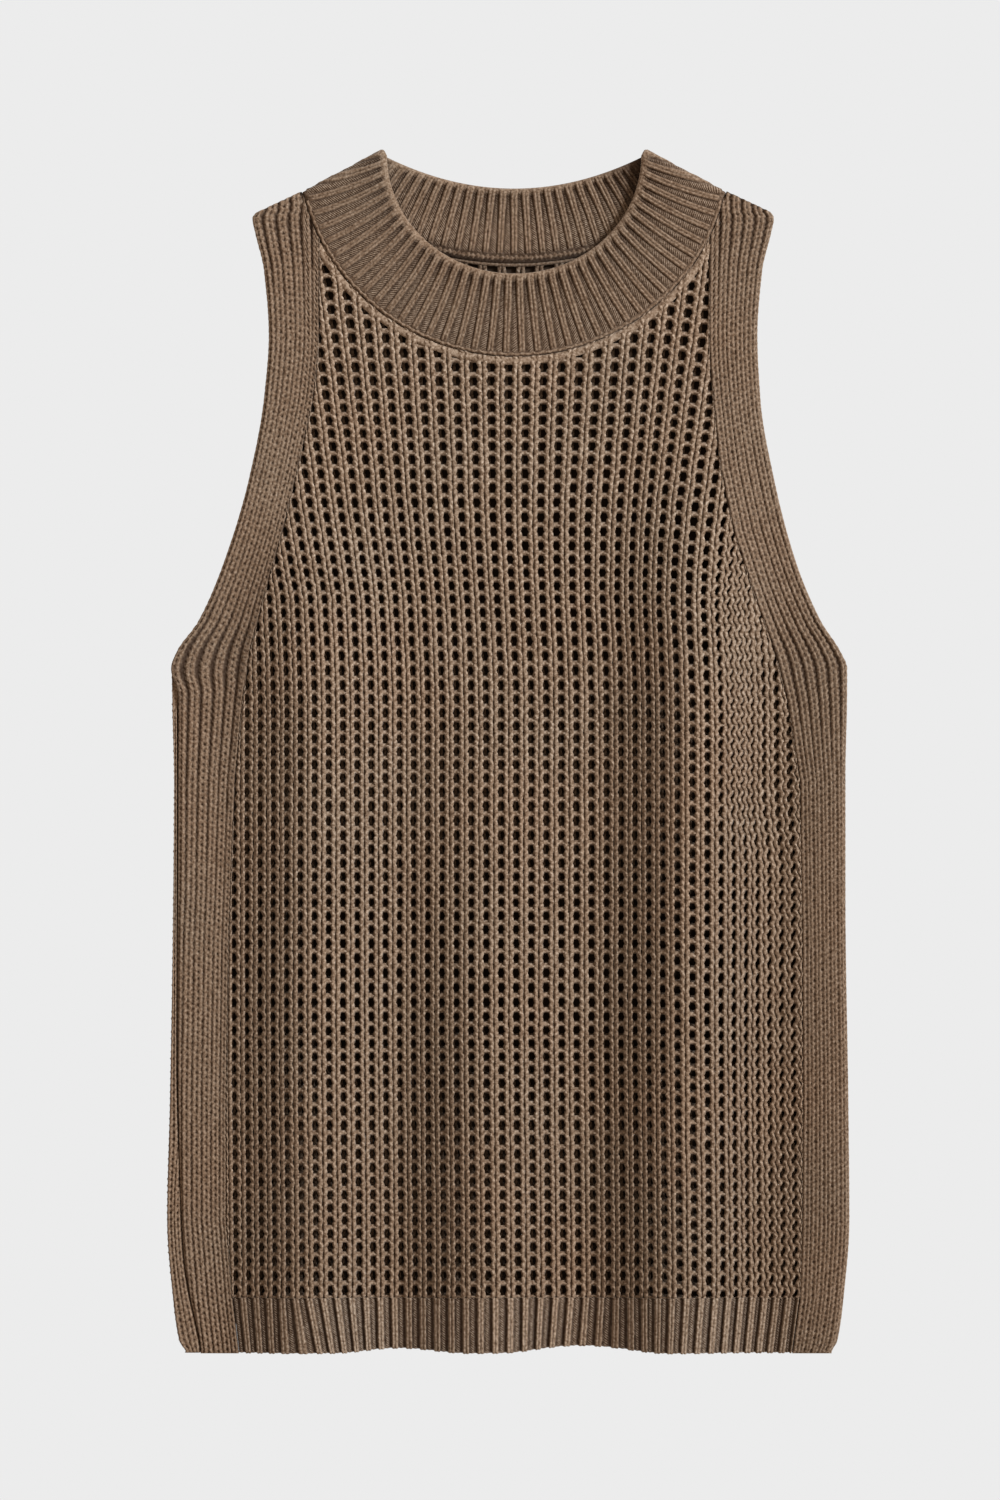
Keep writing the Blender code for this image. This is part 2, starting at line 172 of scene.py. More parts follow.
# Where the wales swell and nearly close the holes between them, and by how much in mm
Full = namedtuple("Full", "column half_width swelling low_y high_y")
FULL_PLACES = (
    Full(36.2, 3.3, 1.3, -65.0, 130.0),
    Full(39.5, 4.0, 2.4, 35.0, 110.0),
    Full(37.5, 5.5, 0.3, -1000.0, -15.0),
)
PLACE_RUN = 50.0 * MM  # height over which such a place comes and goes
CLOSED_WALE = 0.94  # share of a column's pitch that a wale takes at most
RIGHT_DROP = 2.8 * MM  # how much lower the rows lie on the right, from and over these distances
DROP_FROM, DROP_RUN = 75.0 * MM, 40.0 * MM
FAN_START_Y, FAN_LENGTH = 85.0 * MM, 123.0 * MM  # above the first the columns spread to the neck
FAN_SPREAD, FAN_POWER = 0.16, 1.18
TUCK = 0.12  # share of its overhang that cloth keeps where it is tucked into a seam

# Ribs and stitches of the dense pieces
BORDER_WALES = 6
FRONT_BORDER_STEPS, BACK_BORDER_STEPS = 48, 24  # points across a border
COURSE = 3.75 * MM  # height of one stitch of a border
ROWS_A_COURSE = 3
FOOT_ROWS = (0.0, 0.12, 0.45)  # rows at the bound-off lower edge, in rows
UPPER_COURSES = 30
WALE_LAG = 0.31  # how far each wale's stitches lie beyond those of the wale before, in stitches
FRONT_RECESS, BACK_RECESS = 0.45, 0.2  # how much deeper than its rise a wale's recess is, in mm
FOOT_THICKNESS = 0.45  # share of its thickness that a front border keeps at its lower edge
THINNEST = 0.25 * MM
BACK_FLANK = 1.3 * MM  # how far the side of a back border bulges out
SLIT_WIDTH = 1.8 * MM  # painted shade in the form of dark slits where a border joins the mesh above the underarm
SLIT_RISE = 60.0 * MM
SLIT_COURSES = 3.4
SLIT_SHADE = 0.8
STRIP_STEPS = 20  # points across the wales of the back that show past the front's side seam
EDGE_ROLL = 2.8 * MM  # radius to which the outer edge of a border rounds down
NECK_FRONT_RIBS, NECK_BACK_RIBS = 40, 28
PICKED_UP_STEPS = 90
# Section of the picked-up row under the neckband: mm from the seam, and mm above the ground
PICKED_UP_SECTION = ((0.1, 0.8), (0.1, 2.5), (2.4, 2.6), (4.4, 2.2), (4.4, 0.8))
BACK_ROW_SHARE, BACK_ROW_SHADE = 0.4, 0.5  # the back's row is narrower and lies in shade
NECK_RIBS_CROSSING = 2  # ribs that pass over each fold between the neck's edge and its seam
LIP = 0.032


def smooth(value):
    """Ease from 0 to 1."""
    t = min(1.0, max(0.0, value))
    return t * t * (3.0 - 2.0 * t)


def hump(away):
    """A rounded rise: 1 in the middle and 0 from a distance of 1 outwards."""
    return 0.5 * (1.0 + math.cos(math.pi * away)) if away < 1.0 else 0.0


def curve_through(heights, values, y):
    """A value at height y, on a curve through the given ones that doesn't overshoot them."""
    y_mm = min(max(y / MM, heights[0]), heights[-1])
    i = max(k for k in range(len(heights) - 1) if heights[k] <= y_mm)

    def slope(k):
        if k in (0, len(heights) - 1):
            return 0.0
        before = (values[k] - values[k - 1]) / (heights[k] - heights[k - 1])
        after = (values[k + 1] - values[k]) / (heights[k + 1] - heights[k])
        if before * after <= 0.0:
            return 0.0
        return 2.0 * before * after / (before + after)

    step = heights[i + 1] - heights[i]
    t = (y_mm - heights[i]) / step
    blend = values[i] + (values[i + 1] - values[i]) * smooth(t)
    lean = slope(i) * t * (1.0 - t) ** 2 - slope(i + 1) * t**2 * (1.0 - t)
    return (blend + lean * step) * MM


def edge_at(field, y):
    """One column of SECTIONS at height y."""
    heights = [row.y for row in SECTIONS]
    return curve_through(heights, [getattr(row, field) for row in SECTIONS], y)


def seam_at(field, y):
    """An inner edge, straight from one shared row to the next, so both its pieces follow it."""
    knots = (HEM_Y, HEM_TOP_Y, *(height * MM for height in SHARED_HEIGHTS))
    if y <= knots[0] or y >= knots[-1]:
        return edge_at(field, y)
    i = max(k for k in range(len(knots) - 1) if knots[k] <= y)
    t = (y - knots[i]) / (knots[i + 1] - knots[i])
    start, end = edge_at(field, knots[i]), edge_at(field, knots[i + 1])
    return start + (end - start) * t


def fold_rise(x, y):
    """Height of the front's soft folds over the back at a point."""
    total = 0.0
    for ridge in RIDGES:
        start = ridge.start_y * MM
        along = min(1.0, max(0.0, (start - y) / (start - HEM_Y)))
        crest = (ridge.top_x + (ridge.hem_x - ridge.top_x) * along) * MM
        strength = smooth((start - y) / (start - ridge.full_y * MM))
        total += ridge.rise * MM * strength * hump(abs(x - crest) / (ridge.half_width * MM))
    return total


def front_low(x, y):
    return WALL + SEAM_GAP + fold_rise(x, y)


def front_outward(x, y):
    """The way out of the front's face at a point."""
    step = 1.0 * MM
    across = (fold_rise(x + step, y) - fold_rise(x - step, y)) / (2 * step)
    along = (fold_rise(x, y + step) - fold_rise(x, y - step)) / (2 * step)
    return Vector((-across, -along, 1.0)).normalized()


def vest_outline():
    """The outline of the laid vest without its neckband, anticlockwise from the left end."""
    heights = [HEM_Y + (SHOULDER_TIP_Y - HEM_Y) * k / 40 for k in range(41)]
    left = [(edge_at("outer_left", y), y) for y in reversed(heights)]
    right = [(edge_at("outer_right", y), y) for y in heights]
    return left + right


def hem_y(x):
    """Height of the hem's edge, which draws up between the folds."""
    draws = (draw.rise * hump(abs(x / MM - draw.x) / draw.half_width) for draw in HEM_DRAWS)
    return HEM_Y + sum(draws) * MM


def ellipse(angle, centre_y, half_width, drop):
    """A point of a neckline: angle 0 is its left end and pi its right end."""
    x = NECK_CENTRE_X - half_width * math.cos(angle)
    return Vector((x, centre_y - drop * math.sin(angle)))


def mirrored(x):
    """The same place on the other side of the neck."""
    return 2 * NECK_CENTRE_X - x


FOLD_INNER = Vector((NECK_CENTRE_X - NECK_HALF_WIDTH, NECK_POINT_Y))
FOLD_OUTER = ellipse(SEAM_START, SEAM_CENTRE_Y, SEAM_HALF_WIDTH, SEAM_DROP)
OUTWARD = Vector((FOLD_OUTER.y - FOLD_INNER.y, FOLD_INNER.x - FOLD_OUTER.x)).normalized()
CORNER = FOLD_OUTER + OUTWARD * (FOLD_RADIUS_OUTER + BAND_WALL / 2)


def back_seam_y(x):
    """The back neckline's seam, a shallow curve between the two folds."""
    ratio = (x - NECK_CENTRE_X) / (NECK_CENTRE_X - FOLD_OUTER.x)
    return FOLD_OUTER.y - BACK_SEAM_DROP * (1.0 - ratio * ratio)


def back_edge_y(x):
    """The top edge of the back half of the neckband."""
    ratio = (x - NECK_CENTRE_X) / NECK_HALF_WIDTH
    return NECK_POINT_Y - BACK_NECK_DROP * (1.0 - ratio * ratio)


def neck_limit(x, front):
    """How far up a panel reaches at x: to the shoulder line, or to the neckband's seam."""
    x = min(x, mirrored(x))
    slope = (SHOULDER_TIP_Y - CORNER.y) / (SHOULDER_TIP_X - CORNER.x)
    shoulder = CORNER.y + slope * (x - CORNER.x)
    beside = x + SEAM_GAP
    if beside < CORNER.x:
        return shoulder
    if beside < FOLD_OUTER.x:
        seam = FOLD_OUTER.y + (beside - FOLD_OUTER.x) * OUTWARD.y / OUTWARD.x
    elif front:
        ratio = (beside - NECK_CENTRE_X) / SEAM_HALF_WIDTH
        seam = SEAM_CENTRE_Y - SEAM_DROP * math.sqrt(1.0 - ratio * ratio)
    else:
        seam = back_seam_y(beside)
    return min(shoulder, seam - SEAM_GAP)


def top_of(line, front):
    """Height at which an upright line of a panel meets the neck or shoulder line."""
    low, high = SHARED_HEIGHTS[-1] * MM, NECK_POINT_Y
    for _ in range(30):
        middle = (low + high) / 2
        if middle < neck_limit(line(middle), front):
            low = middle
        else:
            high = middle
    return low


def inset_at(y):
    """How far the left side seam lies inside the outline."""
    y = min(y, UNDERARM_Y)
    heights = [point.y for point in SIDE_SEAM]
    return curve_through(heights, [point.x for point in SIDE_SEAM], y) - edge_at("outer_left", y)


def side_seam(y):
    """The left outer edge of the front: the armhole, and below the underarm the side seam."""
    moved = smooth((UNDERARM_Y - y) / SIDE_SEAM_RUN)
    return edge_at("outer_left", y) + inset_at(y) * moved


def outer_right(y):
    return edge_at("outer_right", y)


def outer_left(y):
    return edge_at("outer_left", y)


# ---- Nodes, meshes and declared pieces ----

VECTOR_MATH = "ShaderNodeVectorMath"
HELD_VALUE = "GeometryNodeInputNamedAttribute"
STORED_VALUE = "GeometryNodeStoreNamedAttribute"


def linear(hex_colour):
    """An sRGB hex colour as linear red, green and blue."""
    channels = [int(hex_colour[i : i + 2], 16) / 255 for i in (1, 3, 5)]
    return [c / 12.92 if c <= 0.04045 else ((c + 0.055) / 1.055) ** 2.4 for c in channels]


def fill(tree, node, inputs):
    """Fill a node's inputs with values, sockets, or nodes, which stand for their first output."""
    for key, value in inputs.items():
        if isinstance(value, bpy.types.Node):
            value = value.outputs[0]
        if isinstance(value, bpy.types.NodeSocket):
            tree.links.new(value, node.inputs[key])
        else:
            node.inputs[key].default_value = value
    return node


def add_node(tree, kind, inputs=(), **settings):
    """Add a node, set its properties, and fill its inputs."""
    node = tree.nodes.new(kind)
    for name, value in settings.items():
        setattr(node, name, value)
    return fill(tree, node, dict(inputs))


# A step of a calculation: its result's name, a math operation, and operands by name or as numbers
Step = namedtuple("Step", "result operation a b c", defaults=(0.0, 0.0))


def calculate(tree, steps, known):
    """Chain math nodes for the steps; known holds values by name and receives each result."""
    for result, operation, *operands in steps:
        inputs = dict(enumerate(known.get(x, x) for x in operands))
        known[result] = add_node(tree, "ShaderNodeMath", inputs, operation=operation)
    return known


def new_tree(name, sockets):
    """A geometry tree with named inputs, given as name, socket type and default."""
    tree = bpy.data.node_groups.new(name, "GeometryNodeTree")
    tree.interface.new_socket("Geometry", in_out="INPUT", socket_type="NodeSocketGeometry")
    for label, kind, default in sockets:
        socket = tree.interface.new_socket(label, in_out="INPUT", socket_type="NodeSocket" + kind)
        if default is not None:
            socket.default_value = default
    tree.interface.new_socket("Geometry", in_out="OUTPUT", socket_type="NodeSocketGeometry")
    return tree, tree.nodes.new("NodeGroupInput").outputs


def end_tree(tree, geometry, material):
    """Every tree ends in plain, smooth geometry with its yarn's material."""
    realized = add_node(tree, "GeometryNodeRealizeInstances", {"Geometry": geometry})
    shaded = add_node(tree, "GeometryNodeSetShadeSmooth", {"Geometry": realized})
    inputs = {"Geometry": shaded, "Material": material}
    dyed = add_node(tree, "GeometryNodeSetMaterial", inputs)
    add_node(tree, "NodeGroupOutput", {"Geometry": dyed})


def new_object(name, mesh):
    """Put a mesh into the scene under its own name."""
    thing = bpy.data.objects.new(name, mesh)
    bpy.context.scene.collection.objects.link(thing)
    return thing


def object_of(bm, name):
    """Turn a finished bmesh into an object."""
    mesh = bpy.data.meshes.new(name)
    bm.to_mesh(mesh)
    bm.free()
    return new_object(name, mesh)


def unpacked(piece):
    """A bmesh of a piece, to add to."""
    bm = bmesh.new()
    bm.from_mesh(piece.data)
    return bm


def put_back(bm, piece):
    """Give a piece its mesh back, with all faces outwards."""
    bmesh.ops.recalc_face_normals(bm, faces=bm.faces)
    bm.to_mesh(piece.data)
    bm.free()


def join_rings(bm, rings, smooth_faces=False):
    """Faces between each ring of points and the next."""
    for ring, after in zip(rings, rings[1:]):
        for k in range(len(ring)):
            turn = (k + 1) % len(ring)
            face = bm.faces.new((ring[k], ring[turn], after[turn], after[k]))
            face.smooth = smooth_faces


def run_tree(base, tree, values):
    """Evaluate a tree on a base object, and turn the base into the plain mesh that comes out."""
    modifier = base.modifiers.new("Knit", "NODES")
    modifier.node_group = tree
    for item in tree.interface.items_tree:
        if item.item_type == "SOCKET" and item.in_out == "INPUT" and item.name in values:
            modifier[item.identifier] = values[item.name]
    graph = bpy.context.evaluated_depsgraph_get()
    knitted = bpy.data.meshes.new_from_object(base.evaluated_get(graph))
    base.modifiers.remove(modifier)
    old = base.data
    base.data = knitted
    knitted.name = base.name
    knitted.materials.clear()
    knitted.materials.append(values["Material"])
    knitted.polygons.foreach_set("material_index", [0] * len(knitted.polygons))
    bpy.data.meshes.remove(old)
    return base


def declare(piece, nodes):
    """Hand a finished piece of cloth to the frame."""
    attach(piece, "root")
    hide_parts(*nodes)


# ---- Yarn ----

# The soft folds once more as they show in the light, steeper than the walls can follow them:
# place of the crest at its upper end and at the hem, heights where it starts and is full, its rise
# and its half width
LIT_FOLDS = (
    Ridge(-106.0, -110.0, 150.0, 40.0, 20.0, 54.0),
    Ridge(-12.0, -12.0, 60.0, -200.0, 21.0, 56.0),
    Ridge(108.0, 94.0, 210.0, 20.0, 24.0, 55.0),
    Ridge(196.0, 196.0, 90.0, 0.0, 10.0, 62.0),
)
FLECK_SIZE, PATCH_SIZE = 1.3 * MM, 75.0 * MM  # width of a fibre fleck and of a faded patch
YARN_RELIEF = 0.4 * MM
LEG_SLANT = 13.7  # how fast the legs of a stitch of the open mesh slant outwards
LEGS_A_ROW = 2
EVEN_TONE_HEIGHT = 60.0 * MM  # height at which the yarn is neither lightened nor darkened: it is lighter above and darker below


def fold_steps(label, fold):
    """Steps for the height of one soft fold, from the place x and y of a point of the cloth."""
    start, full = fold.start_y * MM, fold.full_y * MM
    shift = (fold.hem_x - fold.top_x) * MM / (start - HEM_Y)
    reach = math.pi / (fold.half_width * MM)
    return (
        Step("down" + label, "SUBTRACT", start, "y"),
        Step("crest" + label, "MULTIPLY_ADD", "down" + label, shift, fold.top_x * MM),
        Step("away" + label, "SUBTRACT", "x", "crest" + label),
        Step("turned" + label, "MULTIPLY", "away" + label, reach),
        Step("width" + label, "MINIMUM", "turned" + label, math.pi),
        Step("within" + label, "MAXIMUM", "width" + label, -math.pi),
        Step("wave" + label, "COSINE", "within" + label),
        Step("hump" + label, "MULTIPLY_ADD", "wave" + label, 0.5, 0.5),
        Step("grown" + label, "DIVIDE", "down" + label, start - full),
        Step("grown_to" + label, "MINIMUM", "grown" + label, 1.0),
        Step("strength" + label, "MAXIMUM", "grown_to" + label, 0.0),
        Step("strong" + label, "MULTIPLY", "strength" + label, fold.rise * MM),
        Step("fold" + label, "MULTIPLY", "hump" + label, "strong" + label),
    )


def cotton_yarn(name, colours, paleness=1.0, upward_lightening=0.2, folded=True):
    """Matte plied cotton, dyed taupe brown.

    It gives the eye a dull, slightly uneven brown with no gloss: flecks of lighter and darker
    fibre along the ply, greyer and warmer patches as wide as a hand, yarn that gets lighter towards
    the neck and darker towards the hem, painted light and shade along the legs of the stitches of a
    strand of the open mesh, fine slanting loops in the recesses of a rib, and painted shade on the
    ground between the yarns, the darker the deeper it lies.
    """
    material = bpy.data.materials.new(name)
    material.use_nodes = True
    tree = material.node_tree
    place = add_node(tree, "ShaderNodeTexCoord").outputs["Object"]
    known = {}
    for label, grain, detail in (("fleck", FLECK_SIZE, 2.0), ("patch", PATCH_SIZE, 1.5)):
        inputs = {"Vector": place, "Scale": 1.0 / grain, "Detail": detail}
        known[label] = add_node(tree, "ShaderNodeTexNoise", inputs).outputs["Fac"]
    spot = add_node(tree, "ShaderNodeSeparateXYZ", {0: place})
    lattice = add_node(tree, "ShaderNodeAttribute", attribute_name="lattice_place")
    cell = add_node(tree, "ShaderNodeSeparateXYZ", {0: lattice.outputs["Vector"]})
    known.update(x=spot.outputs["X"], y=spot.outputs["Y"])
    known.update(column=cell.outputs["X"], row=cell.outputs["Y"])
    for label in ("depth", "hatch", "fill"):
        known[label] = add_node(tree, "ShaderNodeAttribute", attribute_name=label).outputs["Fac"]
    steps = (
        Step("patched", "MULTIPLY_ADD", "patch", 1.3, -0.15),
        Step("uneven", "MULTIPLY_ADD", "fleck", 2.6 * paleness, -0.3 * paleness),
        Step("loops", "SINE", "hatch"),
        Step("looped", "MULTIPLY", "loops", "fill"),
        Step("pale", "MULTIPLY_ADD", "looped", 0.5, "uneven"),
        Step("place", "FRACT", "column"),
        Step("aside", "SUBTRACT", "place", 0.5),
        Step("beside", "ABSOLUTE", "aside"),
        Step("outer", "SUBTRACT", 0.5, "beside"),
        Step("leg", "MULTIPLY", "outer", LEG_SLANT),
        Step("turn", "MULTIPLY_ADD", "row", LEGS_A_ROW * TAU, "leg"),
        Step("bead", "SINE", "turn"),
        # painted light and shade: each leg of a stitch lighter and darker along its length; the same
        # wave raises a real bump below
        Step("painted_leg_shading", "MULTIPLY_ADD", "bead", 0.2, 1.0),
        # lighter towards the neck and darker towards the hem
        Step("high", "MULTIPLY_ADD", "y", upward_lightening, 1.0 - upward_lightening * EVEN_TONE_HEIGHT),
        Step("lightened_upwards", "MULTIPLY", "painted_leg_shading", "high"),
        Step("lit", "MULTIPLY", "pale", "lightened_upwards"),
        Step("lit_green", "POWER", "lit", 1.2),
        Step("lit_blue", "POWER", "lit", 1.4),
        Step("hatched", "MULTIPLY_ADD", "looped", 1.1, "fleck"),
        Step("relief", "MULTIPLY_ADD", "bead", 0.45, "hatched"),
        # painted shade: how far the colour turns to the shade colour, by how deep the point lies
        Step("ground", "MULTIPLY", "depth", 0.85),
    )
    calculate(tree, steps, known)
    dyes = {0: known["patched"], 6: (*colours.grey_yarn, 1.0), 7: (*colours.warm_yarn, 1.0)}
    dyed = add_node(tree, "ShaderNodeMix", dyes, data_type="RGBA")
    tones = {"X": known["lit"], "Y": known["lit_green"], "Z": known["lit_blue"]}
    tone = add_node(tree, "ShaderNodeCombineXYZ", tones)
    both = {0: dyed.outputs[2], 1: tone}
    toned = add_node(tree, VECTOR_MATH, both, operation="MULTIPLY")
    # mix the painted shade colour into the yarn's colour
    shades = {0: known["ground"], 6: toned, 7: (*colours.ground, 1.0)}
    shaded = add_node(tree, "ShaderNodeMix", shades, data_type="RGBA")
    relief = {"Height": known["relief"], "Strength": 0.7, "Distance": YARN_RELIEF}
    if folded:
        known["all"] = 0.0
        for label, fold in zip("ABCD", LIT_FOLDS):
            calculate(tree, fold_steps(label, fold), known)
            calculate(tree, (Step("all", "ADD", "all", "fold" + label),), known)
        folds = {"Height": known["all"], "Strength": 1.0, "Distance": 1.0}
        relief["Normal"] = add_node(tree, "ShaderNodeBump", folds)
    bump = add_node(tree, "ShaderNodeBump", relief)
    finish = {
        "Base Color": shaded.outputs[2],
        "Normal": bump,
        "Roughness": 0.95,
        "Specular IOR Level": 0.2,
        "Sheen Weight": 0.1,
        "Sheen Roughness": 0.6,
    }
    fill(tree, tree.nodes["Principled BSDF"], finish)
    return material


# ---- The open mesh ----


def crowding(away):
    """How much of a tight place lies before a distance from its middle: -0.5 to 0.5."""
    a = min(1.0, max(-1.0, away))
    return 0.5 * (a + math.sin(math.pi * a) / math.pi)


def present(place, y):
    """How far a tight or full place is there at a height: 1 between its heights and 0 past them."""
    return smooth((place.high_y * MM - y) / PLACE_RUN) * smooth((y - place.low_y * MM) / PLACE_RUN)


def column_offset(column, y):
    """Distance of a column of holes from the middle one, before the columns fan out."""
    offset = COLUMN_PITCH * (column - MIDDLE_COLUMN)
    for tight in TIGHT_PLACES:
        here = crowding((column - tight.column) / tight.half_width)
        middle = crowding((MIDDLE_COLUMN - tight.column) / tight.half_width)
        taken = tight.squeeze * MM * tight.half_width * (here - middle)
        offset -= taken * present(tight, y)
    return offset


def lattice_y(row):
    """Height of a row of holes."""
    breathing = sum(breath.size * math.sin(breath.turn * row + breath.start) for breath in BREATHS)
    return FIRST_HOLE_Y + ROW_PITCH * row + breathing * MM


def middle_line(y):
    """Place of the middle column at a height."""
    drift = sum(d.shift * smooth((d.start_y * MM - y) / (d.run * MM)) for d in DRIFTS)
    return (MIDDLE_X + drift) * MM


def column_line(column, row):
    """Place of a column of holes at a row."""
    y = lattice_y(row)
    fan = 1.0 + FAN_SPREAD * max(0.0, (y - FAN_START_Y) / FAN_LENGTH) ** FAN_POWER
    x = middle_line(y) + column_offset(column, y) * fan
    slack = 1.0 - smooth((y - FAN_START_Y) / FAN_LENGTH)
    for tight in TIGHT_PLACES:
        near = hump(abs(column - tight.column) / tight.half_width) * slack * MM
        near *= present(tight, y)
        x += near * tight.sway * (1.0 - math.cos(TAU * row))
        x += near * tight.lean * math.sin(TAU * row)
    return x


def lattice_point(column, stop, row):
    """A point of the lattice: a share of the way past a column of holes, at a row."""
    left, right = column_line(column, row), column_line(column + 1, row)
    width = right - left
    wale = sizes().wale_width * (width / COLUMN_PITCH) ** 0.25
    y = lattice_y(row)
    for full in FULL_PLACES:
        near = hump(abs(column + 0.5 - full.column) / full.half_width)
        wale += full.swelling * MM * near * present(full, y)
    wale = min(wale, CLOSED_WALE * width)
    shares = (0.0, 0.5 - wale / width / 2, 0.5, 0.5 + wale / width / 2)
    x = left + width * shares[stop]
    return Vector((x, y - RIGHT_DROP * smooth((x - DROP_FROM) / DROP_RUN))), width


def held_in(point, pitch, front):
    """Tuck a point of the mesh into the seam that it reaches past, and say if its cell stays."""
    kept = True
    left = seam_at("inner_left", point.y) + SEAM_GAP / 2
    right = seam_at("inner_right", point.y) - SEAM_GAP / 2
    for limit, side in ((left, -1.0), (right, 1.0)):
        beyond = (point.x - limit) * side
        if beyond > 0.0:
            kept = kept and beyond < 0.5 * pitch
            point.x = limit + side * beyond * TUCK
    beyond = HEM_TOP_Y + SEAM_GAP / 2 - point.y
    if beyond > 0.0:
        kept = kept and beyond < 0.5 * ROW_PITCH
        point.y += beyond * (1.0 - TUCK)
    if front:
        across = (point.x - NECK_CENTRE_X) / (SEAM_HALF_WIDTH + SEAM_GAP)
        up = (point.y - SEAM_CENTRE_Y) / (SEAM_DROP + SEAM_GAP)
        away = math.hypot(across, up)
        if away < 1.0:
            kept = kept and (1.0 - away) * SEAM_DROP < 0.5 * ROW_PITCH
            grow = (1.0 - TUCK * (1.0 - away)) / max(away, 0.01)
            point.x = NECK_CENTRE_X + across * (SEAM_HALF_WIDTH + SEAM_GAP) * grow
            point.y = SEAM_CENTRE_Y + up * (SEAM_DROP + SEAM_GAP) * grow
    else:
        beyond = point.y - back_seam_y(point.x) + SEAM_GAP
        if beyond > 0.0:
            kept = kept and beyond < 0.5 * ROW_PITCH
            point.y -= beyond * (1.0 - TUCK)
    return kept


def mesh_ground(name, front, first_row, last_row):
    """The surface that the open mesh is knitted on, with the lattice as its map.

    It reaches one cell past the stitches on every side.
    """
    bm = bmesh.new()
    lattice = bm.loops.layers.uv.new("lattice")
    outward = bm.verts.layers.float_vector.new("outward")
    kept = bm.verts.layers.float.new("kept")
    quarters = range((first_row - 1) * CELL_QUARTERS, (last_row + 1) * CELL_QUARTERS + 1)
    lines = []
    for column in range(FIRST_COLUMN - 1, LAST_COLUMN + 1):
        for stop, share in enumerate(CELL_STOPS):
            line = []
            for quarter in quarters:
                row = quarter / CELL_QUARTERS
                place, pitch = lattice_point(column, stop, row)
                if not front:
                    sway = BACK_SWAY * math.sin(BACK_SWAY_TURN * row)
                    place += Vector((BACK_SHIFT_X + sway, BACK_SHIFT_Y)) * MM
                stays = held_in(place, pitch, front)
                vert = bm.verts.new((*place, front_low(*place) if front else WALL))
                vert[outward] = front_outward(*place) if front else Vector((0.0, 0.0, -1.0))
                vert[kept] = float(stays)
                across = (column + share - FIRST_COLUMN + 1) / MAP_COLUMNS
                line.append((vert, (across, (row - FIRST_ROW + 1) / MAP_ROWS)))
            lines.append(line)
    for line, after in zip(lines, lines[1:]):
        for k in range(len(line) - 1):
            corners = (line[k], after[k], after[k + 1], line[k + 1])
            face = bm.faces.new([vert for vert, _ in corners])
            for loop, (_, mapped) in zip(face.loops, corners):
                loop[lattice].uv = mapped
    return object_of(bm, name)


def add_yarn(bm, path, sides, capped):
    """A tube of yarn over rings: each a middle, the way across, and its radii that way and up."""
    rings = []
    for middle, across, wide, high in path:
        ring = []
        for k in range(sides):
            angle = TAU * (k + 0.5) / sides
            offset = Vector(across) * math.cos(angle) * wide
            ring.append(bm.verts.new(middle + offset + Vector((0, 0, math.sin(angle) * high))))
        rings.append(ring)
    join_rings(bm, rings, smooth_faces=True)
    for ring in (rings[0], rings[-1]) if capped == "both" else rings[-1:] if capped else ():
        bm.faces.new(ring)


STRAND_FLATNESS, BAR_FLATNESS = 0.9, 0.48  # height of a yarn as a share of its width
STRANDS_APART = 0.8  # how far a strand lies beside its wale's middle, in halves of its width
FOOT_AT_BAR, FOOT_AT_HOLE = 0.6, 0.4  # how deep the foot of a stitch sinks in, from 0 to 1
FOOT_SINK = 0.8  # what a whole foot sinks by, in mm
# Half of a crossing bar, from its middle into the wale: how far from the wale's middle, as a share
# of a cell, its height in mm, and its width as a share of the bar's
BarPoint = namedtuple("BarPoint", "reach height width")
BAR_POINTS = (BarPoint(0.5, 1.15, 0.95), BarPoint(0.36, 1.2, 0.97), BarPoint(0.15, 1.6, 1.1))
BACKING_HEIGHT = 0.9  # place above the ground of the yarn behind a wale, in mm
BACKING_WIDE, BACKING_HIGH = 0.09, 0.6  # its half width as a share of a cell, its half height in mm
LIT_HEIGHT = 2.15  # yarn below this height is darkened by painted shade, the more the lower it lies, in mm
JOIN_WITHIN = 0.002  # distance at which the yarns of two cells are joined, as a share of a cell


def mesh_cell(name, strand_sides, stitch_steps, bar_sides, backing):
    """One cell of the open mesh: a wale of two strands and its halves of the crossing bars.

    Across and along it is in the lattice's units, with the bars at 0, and its height is in mm.
    Each strand is two slanting legs of stitches tall. The strands part at the bars.
    """
    s = sizes()
    across, along = WALE_SHARE / s.wale_width, 1.0 / ROW_PITCH
    strand, bar = s.strand_width / 2, s.bar_width / 2
    top = (FRONT_DEPTH - STRAND_FLATNESS * strand) / MM
    steps = 2 * stitch_steps
    bm = bmesh.new()
    for side in (-1.0, 1.0):
        path = []
        for k in range(steps + 1):
            row = k / steps - 0.5
            leg = (k % stitch_steps) / stitch_steps
            foot = 0.0
            if leg == 0.0 and stitch_steps > 1:
                foot = FOOT_AT_BAR if k == stitch_steps else FOOT_AT_HOLE
            out = strand * STRANDS_APART + s.swell * 0.5 * (1.0 + math.cos(TAU * row))
            out += s.slant * (leg - 0.4 * max(foot, leg))
            middle = Vector((side * out * across, row, top - FOOT_SINK * foot))
            thick = strand * (1.1 - 0.4 * foot)
            path.append((middle, (1, 0, 0), thick * across, STRAND_FLATNESS * thick / MM))
        add_yarn(bm, path, strand_sides, False)
        path = []
        for point in BAR_POINTS:
            middle = Vector((side * point.reach, 0.0, point.height))
            path.append((middle, (0, 1, 0), point.width * bar * along, BAR_FLATNESS * bar / MM))
        add_yarn(bm, path, bar_sides, True)
    if backing:
        ends = (Vector((0.0, row, BACKING_HEIGHT)) for row in (-0.5, 0.5))
        add_yarn(bm, [(end, (1, 0, 0), BACKING_WIDE, BACKING_HIGH) for end in ends], 3, False)
    bmesh.ops.recalc_face_normals(bm, faces=bm.faces)
    return object_of(bm, name)


